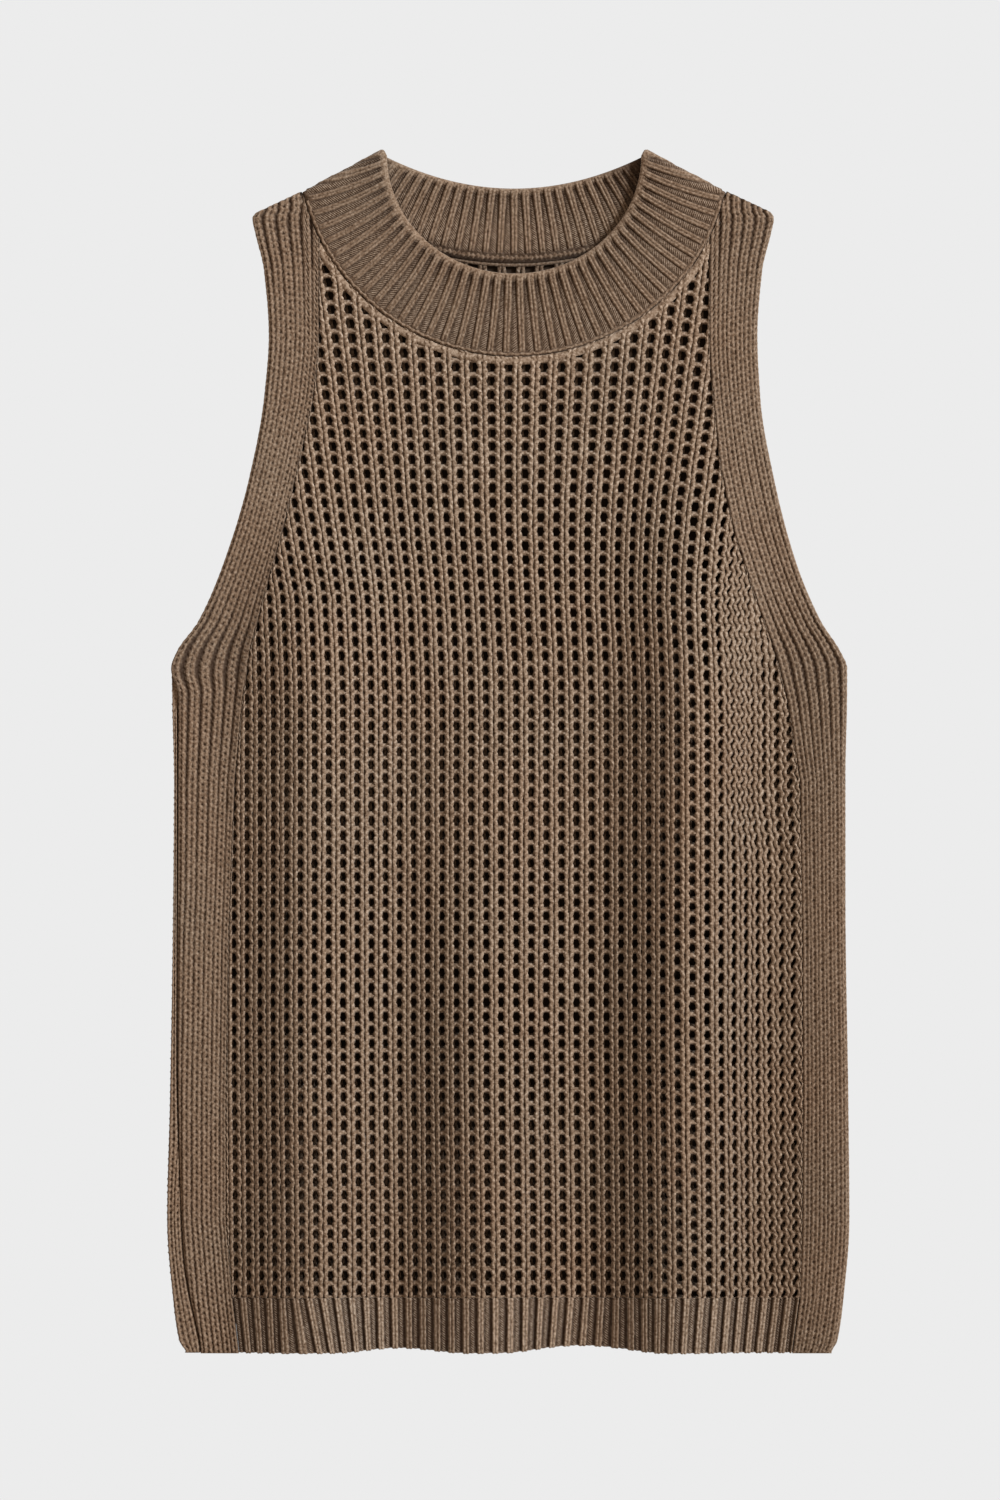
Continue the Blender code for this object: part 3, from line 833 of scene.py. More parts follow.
def open_mesh_tree():
    """Repeats the cell over the lattice, joins its yarns and lays them on the ground surface."""
    sockets = (
        ("Cell", "Object", None),
        ("Columns", "Int", LAST_COLUMN - FIRST_COLUMN),
        ("Rows", "Int", LAST_ROW - FIRST_ROW),
        ("First Row", "Int", 0),
        ("Unevenness", "Float", 0.05),
        ("Seed", "Float", 3.0),
        ("Material", "Material", None),
    )
    tree, group = new_tree("Open mesh", sockets)
    steps = (
        Step("width", "SUBTRACT", "columns", 1.0),
        Step("length", "SUBTRACT", "rows", 1.0),
        Step("half_width", "MULTIPLY_ADD", "columns", 0.5, 1.0),
        Step("half_length", "MULTIPLY_ADD", "rows", 0.5, "first"),
    )
    counts = {"columns": group["Columns"], "rows": group["Rows"], "first": group["First Row"]}
    calculate(tree, steps, counts)
    inputs = {"Size X": counts["width"], "Size Y": counts["length"]}
    inputs.update({"Vertices X": group["Columns"], "Vertices Y": group["Rows"]})
    grid = add_node(tree, "GeometryNodeMeshGrid", inputs)
    corner = {"X": counts["half_width"], "Y": counts["half_length"]}
    start = add_node(tree, "ShaderNodeCombineXYZ", corner)
    centres = add_node(tree, "GeometryNodeSetPosition", {"Geometry": grid, "Offset": start})
    place = add_node(tree, "GeometryNodeInputPosition")
    scale = (1.0 / MAP_COLUMNS, 1.0 / MAP_ROWS, 0.0)
    mapped = add_node(tree, VECTOR_MATH, {0: place, 1: scale}, operation="MULTIPLY")
    lattice = add_node(tree, HELD_VALUE, {"Name": "lattice"}, data_type="FLOAT_VECTOR")

    def on_ground(held, kind, where):
        """What the ground surface holds at a place of its map."""
        inputs = {"Mesh": group["Geometry"], "Value": held, "UV Map": lattice, "Sample UV": where}
        return add_node(tree, "GeometryNodeSampleUVSurface", inputs, data_type=kind)

    kept = add_node(tree, HELD_VALUE, {"Name": "kept"}, data_type="FLOAT")
    inputs = {"A": on_ground(kept, "FLOAT", mapped), "B": 0.5}
    dropped = add_node(tree, "FunctionNodeCompare", inputs, operation="LESS_THAN")
    inputs = {"Geometry": centres, "Selection": dropped}
    cells = add_node(tree, "GeometryNodeDeleteGeometry", inputs)
    cell = add_node(tree, "GeometryNodeObjectInfo", {"Object": group["Cell"]})
    inputs = {"Points": cells, "Instance": cell.outputs["Geometry"]}
    repeated = add_node(tree, "GeometryNodeInstanceOnPoints", inputs)
    loose = add_node(tree, "GeometryNodeRealizeInstances", {"Geometry": repeated})
    joins = {"Geometry": loose, "Distance": JOIN_WITHIN}
    joined = add_node(tree, "GeometryNodeMergeByDistance", joins)
    seeded = add_node(tree, VECTOR_MATH, {0: place, 1: (17.0, 5.0, 0.0)}, operation="ADD")
    inputs = {"Vector": seeded, "W": group["Seed"], "Scale": 0.9, "Detail": 1.0}
    noise = add_node(tree, "ShaderNodeTexNoise", inputs, noise_dimensions="4D")
    inputs = {0: noise.outputs["Color"], 1: (0.5, 0.5, 0.5)}
    centred = add_node(tree, VECTOR_MATH, inputs, operation="SUBTRACT")
    shift = add_node(tree, VECTOR_MATH, {0: centred, 3: group["Unevenness"]}, operation="SCALE")
    moved = add_node(tree, VECTOR_MATH, {0: place, 1: shift}, operation="ADD")
    spot = add_node(tree, VECTOR_MATH, {0: moved, 1: scale}, operation="MULTIPLY")
    apart = add_node(tree, "ShaderNodeSeparateXYZ", {0: place})
    # painted shade: the lower a yarn lies below LIT_HEIGHT, the darker its stored depth makes it
    steps = (
        Step("metres", "MULTIPLY", "height", MM),
        Step("below", "MULTIPLY_ADD", "height", -1.0 / LIT_HEIGHT, 1.0),
        Step("depth", "MAXIMUM", "below", 0.0),
    )
    levels = calculate(tree, steps, {"height": apart.outputs["Z"]})
    outward = add_node(tree, HELD_VALUE, {"Name": "outward"}, data_type="FLOAT_VECTOR")
    inputs = {0: on_ground(outward, "FLOAT_VECTOR", spot), 3: levels["metres"]}
    lift = add_node(tree, VECTOR_MATH, inputs, operation="SCALE")
    position = add_node(tree, "GeometryNodeInputPosition")
    inputs = {0: on_ground(position, "FLOAT_VECTOR", spot), 1: lift}
    target = add_node(tree, VECTOR_MATH, inputs, operation="ADD")
    inputs = {"Geometry": joined, "Name": "depth", "Value": levels["depth"]}
    marked = add_node(tree, STORED_VALUE, inputs)
    inputs = {"Geometry": marked, "Name": "lattice_place", "Value": place}
    along = add_node(tree, STORED_VALUE, inputs, data_type="FLOAT_VECTOR")
    laid = add_node(tree, "GeometryNodeSetPosition", {"Geometry": along, "Position": target})
    end_tree(tree, laid, group["Material"])
    return tree


def close_yarn_ends(piece):
    """Cap the yarns that end at a seam."""
    bm = unpacked(piece)
    loose = [edge for edge in bm.edges if edge.is_boundary]
    for face in bmesh.ops.holes_fill(bm, edges=loose, sides=12)["faces"]:
        face.smooth = False
        for edge in face.edges:
            edge.smooth = False
    put_back(bm, piece)


def picked_up_place(share, front):
    """A place of the neckband's seam, and the way from it into the mesh."""
    if front:
        angle = SEAM_START + (math.pi - 2 * SEAM_START) * share
        at_seam = ellipse(angle, SEAM_CENTRE_Y, SEAM_HALF_WIDTH + SEAM_GAP, SEAM_DROP + SEAM_GAP)
        return at_seam, (at_seam - Vector((NECK_CENTRE_X, SEAM_CENTRE_Y))).normalized()
    x = NECK_CENTRE_X + (mirrored(FOLD_OUTER.x) - NECK_CENTRE_X) * (2.0 * share - 1.0) * 0.8
    return Vector((x, back_seam_y(x) - SEAM_GAP)), Vector((0.0, -1.0))


def add_picked_up_row(piece, front):
    """The dense rows under the neckband's seam, where its stitches were picked up."""
    bm = unpacked(piece)
    shade = bm.verts.layers.float["depth"]
    rows = []
    for k in range(PICKED_UP_STEPS + 1):
        at_seam, down = picked_up_place(k / PICKED_UP_STEPS, front)
        if not edge_at("inner_left", at_seam.y) < at_seam.x < edge_at("inner_right", at_seam.y):
            continue
        row = []
        for depth, height in PICKED_UP_SECTION:
            flat = at_seam + down * depth * (1.0 if front else BACK_ROW_SHARE) * MM
            low = front_low(*flat) if front else 0.0
            vert = bm.verts.new((flat.x, flat.y, low + height * MM))
            vert[shade] = 0.0 if front else BACK_ROW_SHADE
            row.append(vert)
        rows.append(row)
    join_rings(bm, rows, smooth_faces=True)
    bm.faces.new(rows[0])
    bm.faces.new(rows[-1])
    put_back(bm, piece)


# ---- Dense ribs: closed shells that a tree works into legs, grooves and recesses ----

# A point of a shell: its place, the way out, its distance from the middle of its wale in mm, its
# stitch along the wale, how much deeper the recess beside the wale lies in mm, how far it is
# worked from 0 to 1, how far the loops of the recess fill it from 0 to 1, its place in those loops
# as an angle, and how much painted shade darkens it
FAR = 9.0  # a distance in mm beyond any wale
Stitch = namedtuple(
    "Stitch",
    "place outward across course purl worked fill hatch shade",
    defaults=(FAR, 0.0, 0.0, 0.0, 0.0, 0.0, 0.0),
)


def stitch(place, outward, *numbers, **named):
    return Stitch(Vector(place), Vector(outward).normalized(), *numbers, **named)


HATCH_PITCH = 1.35  # height of one slanting loop in a recess, in mm


def hatch_angle(beside, along):
    """Angle in the slanting loops at mm beside a recess's middle and mm along it."""
    return (0.75 * beside + along) * TAU / HATCH_PITCH


def knitted_shell(name, loops, ring):
    """A closed shell over loops of points, which is either a ring or capped at both ends."""
    bm = bmesh.new()
    outward = bm.verts.layers.float_vector.new("outward")
    numbers = {key: bm.verts.layers.float.new(key) for key in Stitch._fields[2:]}
    rows = []
    for loop in loops:
        row = []
        for point in loop:
            vert = bm.verts.new(point.place)
            vert[outward] = point.outward
            for key, layer in numbers.items():
                vert[layer] = getattr(point, key)
            row.append(vert)
        rows.append(row)
    join_rings(bm, rows + rows[:1] if ring else rows)
    if not ring:
        bm.faces.new(rows[0])
        bm.faces.new(rows[-1])
    bmesh.ops.recalc_face_normals(bm, faces=bm.faces)
    return object_of(bm, name)


# Sizes of the relief: a leg's distance from its wale's middle, its half width and its rise in mm,
# how far it sways with each stitch, how deep the spots between its stitches are, the depth of the
# groove, how much of a recess its loops fill, and how far the whole strays in mm
RELIEF_SIZES = {
    "Spread": 1.3,
    "Leg": 1.3,
    "Rise": 0.75,
    "Sway": 0.15,
    "Spots": 0.6,
    "Groove": 0.35,
    "Filling": 1.0,
    "Wander": 0.8,
}
STRAY_LENGTH = 5.0 * MM


def relief_tree():
    """Works each wale of a shell into two legs with a groove between them and a recess beside."""
    sockets = [(name, "Float", size) for name, size in RELIEF_SIZES.items()]
    sockets += [("Seed", "Float", 1.0), ("Material", "Material", None)]
    tree, group = new_tree("Rib relief", sockets)
    known = {name.lower(): group[name] for name in RELIEF_SIZES}
    for name in ("across", "course", "purl", "worked", "fill", "shade"):
        known[name] = add_node(tree, HELD_VALUE, {"Name": name}, data_type="FLOAT")
    outward = add_node(tree, HELD_VALUE, {"Name": "outward"}, data_type="FLOAT_VECTOR")
    place = add_node(tree, "GeometryNodeInputPosition")
    inputs = {"Vector": place, "W": group["Seed"], "Scale": 1.0 / STRAY_LENGTH, "Detail": 1.0}
    known["noise"] = add_node(tree, "ShaderNodeTexNoise", inputs, noise_dimensions="4D")
    steps = (
        Step("turn", "MULTIPLY", "course", TAU),
        Step("wave", "COSINE", "turn"),
        Step("swing", "MULTIPLY", "spread", "sway"),
        Step("centre", "MULTIPLY_ADD", "wave", "swing", "spread"),
        Step("stray", "SUBTRACT", "noise", 0.5),
        Step("astray", "MULTIPLY", "stray", "wander"),
        Step("beside", "SUBTRACT", "across", "centre"),
        Step("away", "ADD", "beside", "astray"),
        Step("share", "DIVIDE", "away", "leg"),
        Step("square", "MULTIPLY", "share", "share"),
        Step("left", "SUBTRACT", 1.0, "square"),
        Step("positive", "MAXIMUM", "left", 0.0),
        Step("round", "SQRT", "positive"),
        Step("hollow", "SUBTRACT", 1.0, "round"),
        Step("spot", "MULTIPLY_ADD", "wave", 0.5, 0.5),
        Step("shallow", "MULTIPLY_ADD", "spot", "spots", "groove"),
        Step("inner_floor", "MULTIPLY", "shallow", "rise"),
        Step("outer_floor", "ADD", "rise", "purl"),
        Step("difference", "SUBTRACT", "outer_floor", "inner_floor"),
        Step("beyond", "GREATER_THAN", "away", 0.0),
        Step("floor", "MULTIPLY_ADD", "difference", "beyond", "inner_floor"),
        Step("drop", "MULTIPLY", "hollow", "floor"),
        Step("filled", "MULTIPLY", "fill", "filling"),
        Step("left_open", "SUBTRACT", "drop", "filled"),
        Step("kept_open", "MAXIMUM", "left_open", 0.0),
        Step("worked_drop", "MULTIPLY", "kept_open", "worked"),
        Step("metres", "MULTIPLY", "worked_drop", -MM),
        # painted shade: the deeper a point is worked in, the darker its yarn, less where loops fill a
        # recess, plus the painted shade each point is given
        Step("paler", "MULTIPLY_ADD", "fill", -0.55, 0.67),
        Step("sunk", "MULTIPLY", "drop", "paler"),
        Step("sunk_work", "MULTIPLY", "sunk", "worked"),
        Step("shaded", "ADD", "sunk_work", "shade"),
        Step("depth", "MINIMUM", "shaded", 1.0),
    )
    calculate(tree, steps, known)
    offset = add_node(tree, VECTOR_MATH, {0: outward, 3: known["metres"]}, operation="SCALE")
    inputs = {"Geometry": group["Geometry"], "Name": "depth", "Value": known["depth"]}
    marked = add_node(tree, STORED_VALUE, inputs)
    worked = add_node(tree, "GeometryNodeSetPosition", {"Geometry": marked, "Offset": offset})
    end_tree(tree, worked, group["Material"])
    return tree


# ---- Borders ----


def border_rows():
    """Heights of a border's level rows, from the hem's edge upwards."""
    rise = COURSE / ROWS_A_COURSE
    count = int((SHARED_HEIGHTS[-1] * MM - HEM_Y) / rise)
    shares = (*FOOT_ROWS, *range(1, count))
    return [HEM_Y + share * rise for share in shares]


def border_levels(lines, front):
    """For each row of a border, the height of each of its lines, and the row's stitch."""
    levels = border_rows()
    rows = [([y] * len(lines), (y - HEM_Y) / COURSE) for y in levels]
    tops = [top_of(line, front) for line in lines]
    start = levels[-1]
    count = UPPER_COURSES * ROWS_A_COURSE
    for k in range(1, count + 1):
        heights = [start + (top - start) * k / count for top in tops]
        rows.append((heights, (start - HEM_Y) / COURSE + k / ROWS_A_COURSE))
    return rows


def foot_share(y):
    """How full the wall is near its bound-off lower edge."""
    d = min(1.0, max(0.0, (y - HEM_Y) / (1.6 * MM)))
    return math.sqrt(max(0.0, 1.0 - (1.0 - d) ** 2))


def slant(line, y):
    """Slope of a line against the upright, in X for each unit of Y."""
    step = 1.5 * MM
    return (line(y + step) - line(y - step)) / (2 * step)


def wale_of(arc, total, power):
    """Which wale a point of a border lies in, and how far from its middle in mm."""
    place = BORDER_WALES * min(1.0, max(0.0, arc / total)) ** power
    wale = min(int(place), BORDER_WALES - 1)
    width = total / BORDER_WALES
    return wale, abs(place - wale - 0.5) * width / MM


def front_border(name, outer, inner, side, full_width, power):
    """A front border: level with the mesh at its inner seam, rolled down at its outer edge."""
    count = FRONT_BORDER_STEPS
    loops = []

    def across_at(share, y):
        """Distance outwards from the inner seam, and the turn of the roll there."""
        roll = EDGE_ROLL * math.hypot(1.0, slant(outer, y))
        flat = abs(outer(y) - inner(y)) - roll
        total = flat + roll * (math.pi / 2)
        arc = share * total
        turn = max(0.0, (arc - flat) / roll)
        return min(arc, flat) + roll * math.sin(turn), turn, arc, total

    shares = [k / count for k in range(count + 1)]
    lines = [lambda y, s=s: inner(y) + side * across_at(s, y)[0] for s in shares]
    for heights, course in border_levels(lines, True):
        loop = []
        for share, y in zip(shares, heights):
            away, turn, arc, total = across_at(share, y)
            x = inner(y) + side * away
            full = foot_share(y)
            thickness = FRONT_DEPTH * (FOOT_THICKNESS + (1.0 - FOOT_THICKNESS) * full)
            thickness -= EDGE_ROLL * (1.0 - math.cos(turn)) * full
            lean = -side * slant(outer, y) * math.sin(turn)
            rolled = Vector((side * math.sin(turn), lean, math.cos(turn)))
            outward = rolled if turn > 0.0 else front_outward(x, y)
            pattern = max(total, full_width) if y < UNDERARM_Y else total
            wale, across = wale_of(arc, pattern, power)
            # painted shade that draws dark slits along the inner seam
            painted_slit = hump(arc / SLIT_WIDTH) * smooth((y - UNDERARM_Y) / SLIT_RISE)
            painted_slit *= 0.5 + 0.5 * math.sin(TAU * course / SLIT_COURSES)
            place = (x, y, front_low(x, y) + max(thickness, THINNEST))
            numbers = (across, course + WALE_LAG * wale, FRONT_RECESS, full)
            loop.append(stitch(place, outward, *numbers, shade=SLIT_SHADE * painted_slit))
        for share in (0.985, 0.5, 0.0):
            y = heights[round(share * count)]
            x = inner(y) + side * share * abs(outer(y) - inner(y))
            loop.append(stitch((x, y, front_low(x, y)), (0.0, 0.0, -1.0)))
        loops.append(loop)
    return knitted_shell(name, loops, False)


def back_border(name, outer, inner, side, raised):
    """A back border: its knit face lies on the table, and its side shows past the front's."""
    count = BACK_BORDER_STEPS
    loops = []
    shares = [k / count for k in range(count + 1)]
    flank = BACK_FLANK
    lines = [lambda y, s=s: inner(y) + (outer(y) - side * flank - inner(y)) * s for s in shares]
    for heights, course in border_levels(lines, False):
        loop = []
        full = foot_share(heights[0])
        foot = 0.5 + 0.5 * full
        for share, y in zip(shares, heights):
            x = lines[round(share * count)](y)
            total = abs(outer(y) - inner(y))
            wale, across = wale_of(share * total, total, 1.0)
            place = (x, y, WALL * 0.25 * (1.0 - full))
            numbers = (across, course + WALE_LAG * wale, BACK_RECESS, full)
            loop.append(stitch(place, (0, 0, -1), *numbers))
        y = heights[-1]
        risen = smooth((UNDERARM_Y - SIDE_SEAM_RUN - y) / SIDE_SEAM_RUN) if raised else 0.0
        height = (WALL + LAST_WALE_RISE * risen) * foot
        for turn in (-50.0, 0.0, 50.0):
            angle = math.radians(turn)
            x = outer(y) - side * flank * (1.0 - math.cos(angle))
            place = (x, y, (1.0 + math.sin(angle)) * height / 2)
            outward = (side * math.cos(angle), 0.0, math.sin(angle))
            loop.append(stitch(place, outward, 2.6, course, BACK_RECESS, full))
        if raised:
            room = max(inset_at(y) - SEAM_GAP, 1.5 * MM)
            wales = 1.0 + smooth((room - 6.0 * MM) / (3.0 * MM))
            for k in range(STRIP_STEPS + 1):
                t = k / STRIP_STEPS
                x = outer(y) - side * (flank * 0.8 + (room - flank * 0.8) * t)
                dome = math.sqrt(max(0.0, 1.0 - max(0.0, 2 * t - 1.1) ** 4 / 0.66))
                place = (x, y, (WALL + LAST_WALE_RISE * risen * dome) * foot)
                across = abs(t * wales % 1.0 - 0.5) * 5.0
                loop.append(stitch(place, (0, 0, 1), across, course, BACK_RECESS, full * risen))
        for share in (0.5, 0.0) if raised else (1.0, 0.5, 0.0):
            y = heights[round(share * count)]
            x = lines[round(share * count)](y)
            loop.append(stitch((x, y, WALL * foot), (0, 0, 1)))
        loops.append(loop)
    return knitted_shell(name, loops, False)


# ---- Hems ----

PAIR = 1.95  # half the width of the two legs of a rib, in mm
PAIR_OFFSETS = (0.5, 0.98, 1.5, PAIR)  # points of a rib beside its middle, in mm
RECESS_SHARES = (0.3, 0.65)  # points of a recess between its rib and its own middle
FULL_RECESS = 2.0  # half width at which the loops fill a recess, in mm
HEM_ROWS = 22
HEM_ROUND = 1.5 * MM  # radius of its lower edge
HEM_FRONT_RECESS, HEM_BACK_RECESS = 1.15, 0.5  # how much deeper its recesses are, in mm
# painted shade that darkens the whole hem a little
HEM_SHADE = 0.05

# How far the foot of a rib of the front's hem lies to the right of its top, by the rib's place
Lean = namedtuple("Lean", "x shift")
HEM_LEANS = (
    Lean(-152.0, 0.0),
    Lean(-130.0, 0.0),
    Lean(-112.0, 5.6),
    Lean(-95.0, 4.0),
    Lean(-70.0, 0.6),
    Lean(5.0, -0.3),
    Lean(32.0, -2.6),
    Lean(52.0, -2.0),
    Lean(70.0, 0.3),
    Lean(86.0, -0.6),
    Lean(112.0, -2.4),
    Lean(150.0, -1.2),
    Lean(163.0, 0.0),
)


def rib_points(half):
    """Points of a rib and half of each recess beside it, in mm from the rib's middle: each with
    how far the recess's loops fill it there."""
    pair = min(PAIR, 0.7 * half)
    found = [(offset * pair / PAIR, 0.0) for offset in PAIR_OFFSETS]
    wide = min(1.0, (half - pair) / FULL_RECESS)
    for share in RECESS_SHARES:
        found.append((pair + (half - pair) * share, wide * (1.0 - (1.0 - share) ** 2)))
    before = [(-offset, fill) for offset, fill in reversed(found)]
    return [(-half, wide), *before, (0.0, 0.0), *found]


def hem_line(x, y):
    """Follow a rib of the hem down: the ribs lean about the folds, and the hem's ends draw in."""
    top = HEM_TOP_Y
    lean = curve_through([lean.x for lean in HEM_LEANS], [lean.shift for lean in HEM_LEANS], x)
    left, right = seam_at("inner_left", top), seam_at("inner_right", top)
    moved = x
    for edge, now in (
        (left, seam_at("inner_left", y) + SEAM_GAP / 2),
        (right, seam_at("inner_right", y) - SEAM_GAP / 2),
    ):
        near = max(0.0, 1.0 - abs(x - edge) / (60.0 * MM))
        moved += (now - edge) * near * near
    return moved + lean * (top - y) / (top - HEM_Y)


def hem_columns():
    """Points across the hem's upper edge, each with its distance in mm from the middle of its rib,
    how far the loops fill the recess there, and its place to the right of the recess's middle."""
    left = seam_at("inner_left", HEM_TOP_Y) + SEAM_GAP / 2
    right = seam_at("inner_right", HEM_TOP_Y) - SEAM_GAP / 2
    row = round((HEM_TOP_Y - FIRST_HOLE_Y) / ROW_PITCH)
    found = []
    for column in range(FIRST_COLUMN, LAST_COLUMN):
        start, end = column_line(column, row), column_line(column + 1, row)
        middle, half = (start + end) / 2, (end - start) / 2 / MM
        for offset, fill in rib_points(half):
            beside = offset - math.copysign(half, offset)
            packed = 0.7 if offset == -half else 0.25 if offset < 0.0 else 1.0
            found.append((middle + offset * MM, abs(offset), fill * packed, beside))
    inside = sorted(point for point in found if left + 0.3 * MM < point[0] < right - 0.3 * MM)
    return [(left, 4.0, 0.3, 0.0), *inside, (right, 4.0, 0.3, 0.0)]


def hem(name, front):
    """A ribbed hem with a rounded lower edge."""
    top = HEM_TOP_Y - SEAM_GAP / 2
    face = 1.0 if front else -1.0
    thick = (FRONT_DEPTH + 0.1 * MM) if front else WALL
    purl = HEM_FRONT_RECESS if front else HEM_BACK_RECESS
    loops = []
    for x_top, across, fill_share, beside in hem_columns():
        foot = hem_y(x_top)
        loop = []

        def add(y, height, turn, worked):
            x = hem_line(x_top, y)
            low = front_low(x, y) if front else WALL
            outward = (0.0, -math.sin(turn), face * math.cos(turn))
            hatch = hatch_angle(beside, (y - HEM_Y) / MM)
            numbers = (across, (y - HEM_Y) / COURSE, purl, worked, fill_share, hatch, HEM_SHADE)
            loop.append(stitch((x, y, low + face * height), outward, *numbers))

        for k in range(HEM_ROWS + 1):
            add(top + (foot + HEM_ROUND - top) * k / HEM_ROWS, thick, 0.0, 1.0)
        for turn in (30.0, 60.0, 90.0, 130.0):
            angle = math.radians(turn)
            y = foot + HEM_ROUND * (1.0 - math.sin(angle))
            add(y, thick / 2 * (1.0 + math.cos(angle)), angle, 0.8 * math.cos(angle / 2) ** 2)
        for y in (foot + HEM_ROUND, (top + foot) / 2, top):
            add(y, 0.0, math.pi, 0.0)
        loops.append(loop)
    return knitted_shell(name, loops, False)


# ---- Neckband ----

NECK_RIBS = NECK_FRONT_RIBS + NECK_BACK_RIBS
BAND_STEPS = 12
BAND_COURSES = 12.0
LIP_RADIUS = 1.5 * MM
# Depth of its recesses in mm, how much deeper they are at the lip, and over which share of the
# band's depth
BAND_RECESS, LIP_RECESS, LIP_RUN = 0.6, 0.7, 0.5
HIDDEN_WORK = 0.35  # how far its stitches are worked where they don't show
# Shade on the inner face of its back half: at its right and left fold and over how many ribs, and
# along its seam, from which share of the band's depth and over which
RIGHT_FOLD_SHADE, RIGHT_FOLD_RIBS = 1.1, 8.0
LEFT_FOLD_SHADE, LEFT_FOLD_RIBS = 0.3, 3.0
SEAM_SHADE, SEAM_SHADE_FROM, SEAM_SHADE_RUN = 0.35, 0.78, 0.15

# The linked seams along the band's outer edge, in front and inside the back: which face they are
# on, share of the band's depth where each lies and from which the band is lower, by how much, the
# radius of its loops, how high they stand on the band, and how much painted shade darkens them
Chain = namedtuple("Chain", "face share start drop radius height shade")
CHAINS = (
    Chain(1.0, 0.978, 0.945, 0.7, 0.9, -0.05, 0.08),
    Chain(-1.0, 0.935, 0.87, 0.7, 2.1, -0.9, 0.42),
)
LOOPS_A_RIB = 3
RINGS_A_LOOP = 4


def fold_radius(c):
    return FOLD_RADIUS_INNER + (FOLD_RADIUS_OUTER - FOLD_RADIUS_INNER) * c


def rib_pitch(c):
    """Distance in mm from one rib of the neckband to the next, at a share of its depth."""
    return 5.4 + 3.8 * c


def band_section(rib, c):
    """Where a rib stands at share c of the band's depth.

    Gives its inner and its outer point, the turn of its outer side from +Z, the way that the band
    bends there, how much of it belongs to the front, and how open the back is there.
    """
    left_fold = NECK_RIBS_CROSSING * c
    right_fold = NECK_FRONT_RIBS - NECK_RIBS_CROSSING * c
    half = math.pi * fold_radius(c) / (rib_pitch(c) * MM) / 2
    rib = (rib - left_fold + half) % NECK_RIBS + left_fold - half
    right_inner = Vector((mirrored(FOLD_INNER.x), FOLD_INNER.y))
    right_outer = Vector((mirrored(FOLD_OUTER.x), FOLD_OUTER.y))
    if rib < left_fold + half:
        turn = math.pi * (left_fold + half - rib) / (2 * half)
        return FOLD_INNER, FOLD_OUTER, turn, OUTWARD, math.cos(turn / 2) ** 2, 0.0
    if rib < right_fold - half:
        f = (rib - left_fold - half) / (right_fold - left_fold - 2 * half)
        inner = ellipse(math.pi * f, NECK_POINT_Y, NECK_HALF_WIDTH, FRONT_NECK_DROP)
        angle = SEAM_START + (math.pi - 2 * SEAM_START) * f
        outer = ellipse(angle, SEAM_CENTRE_Y, SEAM_HALF_WIDTH, SEAM_DROP)
        return inner, outer, 0.0, Vector((0.0, 0.0)), 1.0, 0.0
    if rib < right_fold + half:
        turn = math.pi * (rib - right_fold + half) / (2 * half)
        bend = Vector((-OUTWARD.x, OUTWARD.y))
        return right_inner, right_outer, turn, bend, math.cos(turn / 2) ** 2, 0.0
    f = (rib - right_fold - half) / (NECK_RIBS + left_fold - right_fold - 2 * half)
    spread = f - 0.018 * math.sin(TAU * f)
    x = right_inner.x + (FOLD_INNER.x - right_inner.x) * spread
    seam_x = right_outer.x + (FOLD_OUTER.x - right_outer.x) * spread
    inner, outer = Vector((x, back_edge_y(x))), Vector((seam_x, back_seam_y(seam_x)))
    return inner, outer, math.pi, Vector((0.0, 0.0)), 0.0, math.sin(math.pi * f)


def band_rows(chain):
    """Shares of the band's depth from its lip to its seam, and whether the seam's chain lies
    there."""
    rows = [(LIP + (chain.start - LIP) * k / BAND_STEPS, False) for k in range(BAND_STEPS + 1)]
    return rows + [(chain.start + 0.012, True), (1.0, True)]


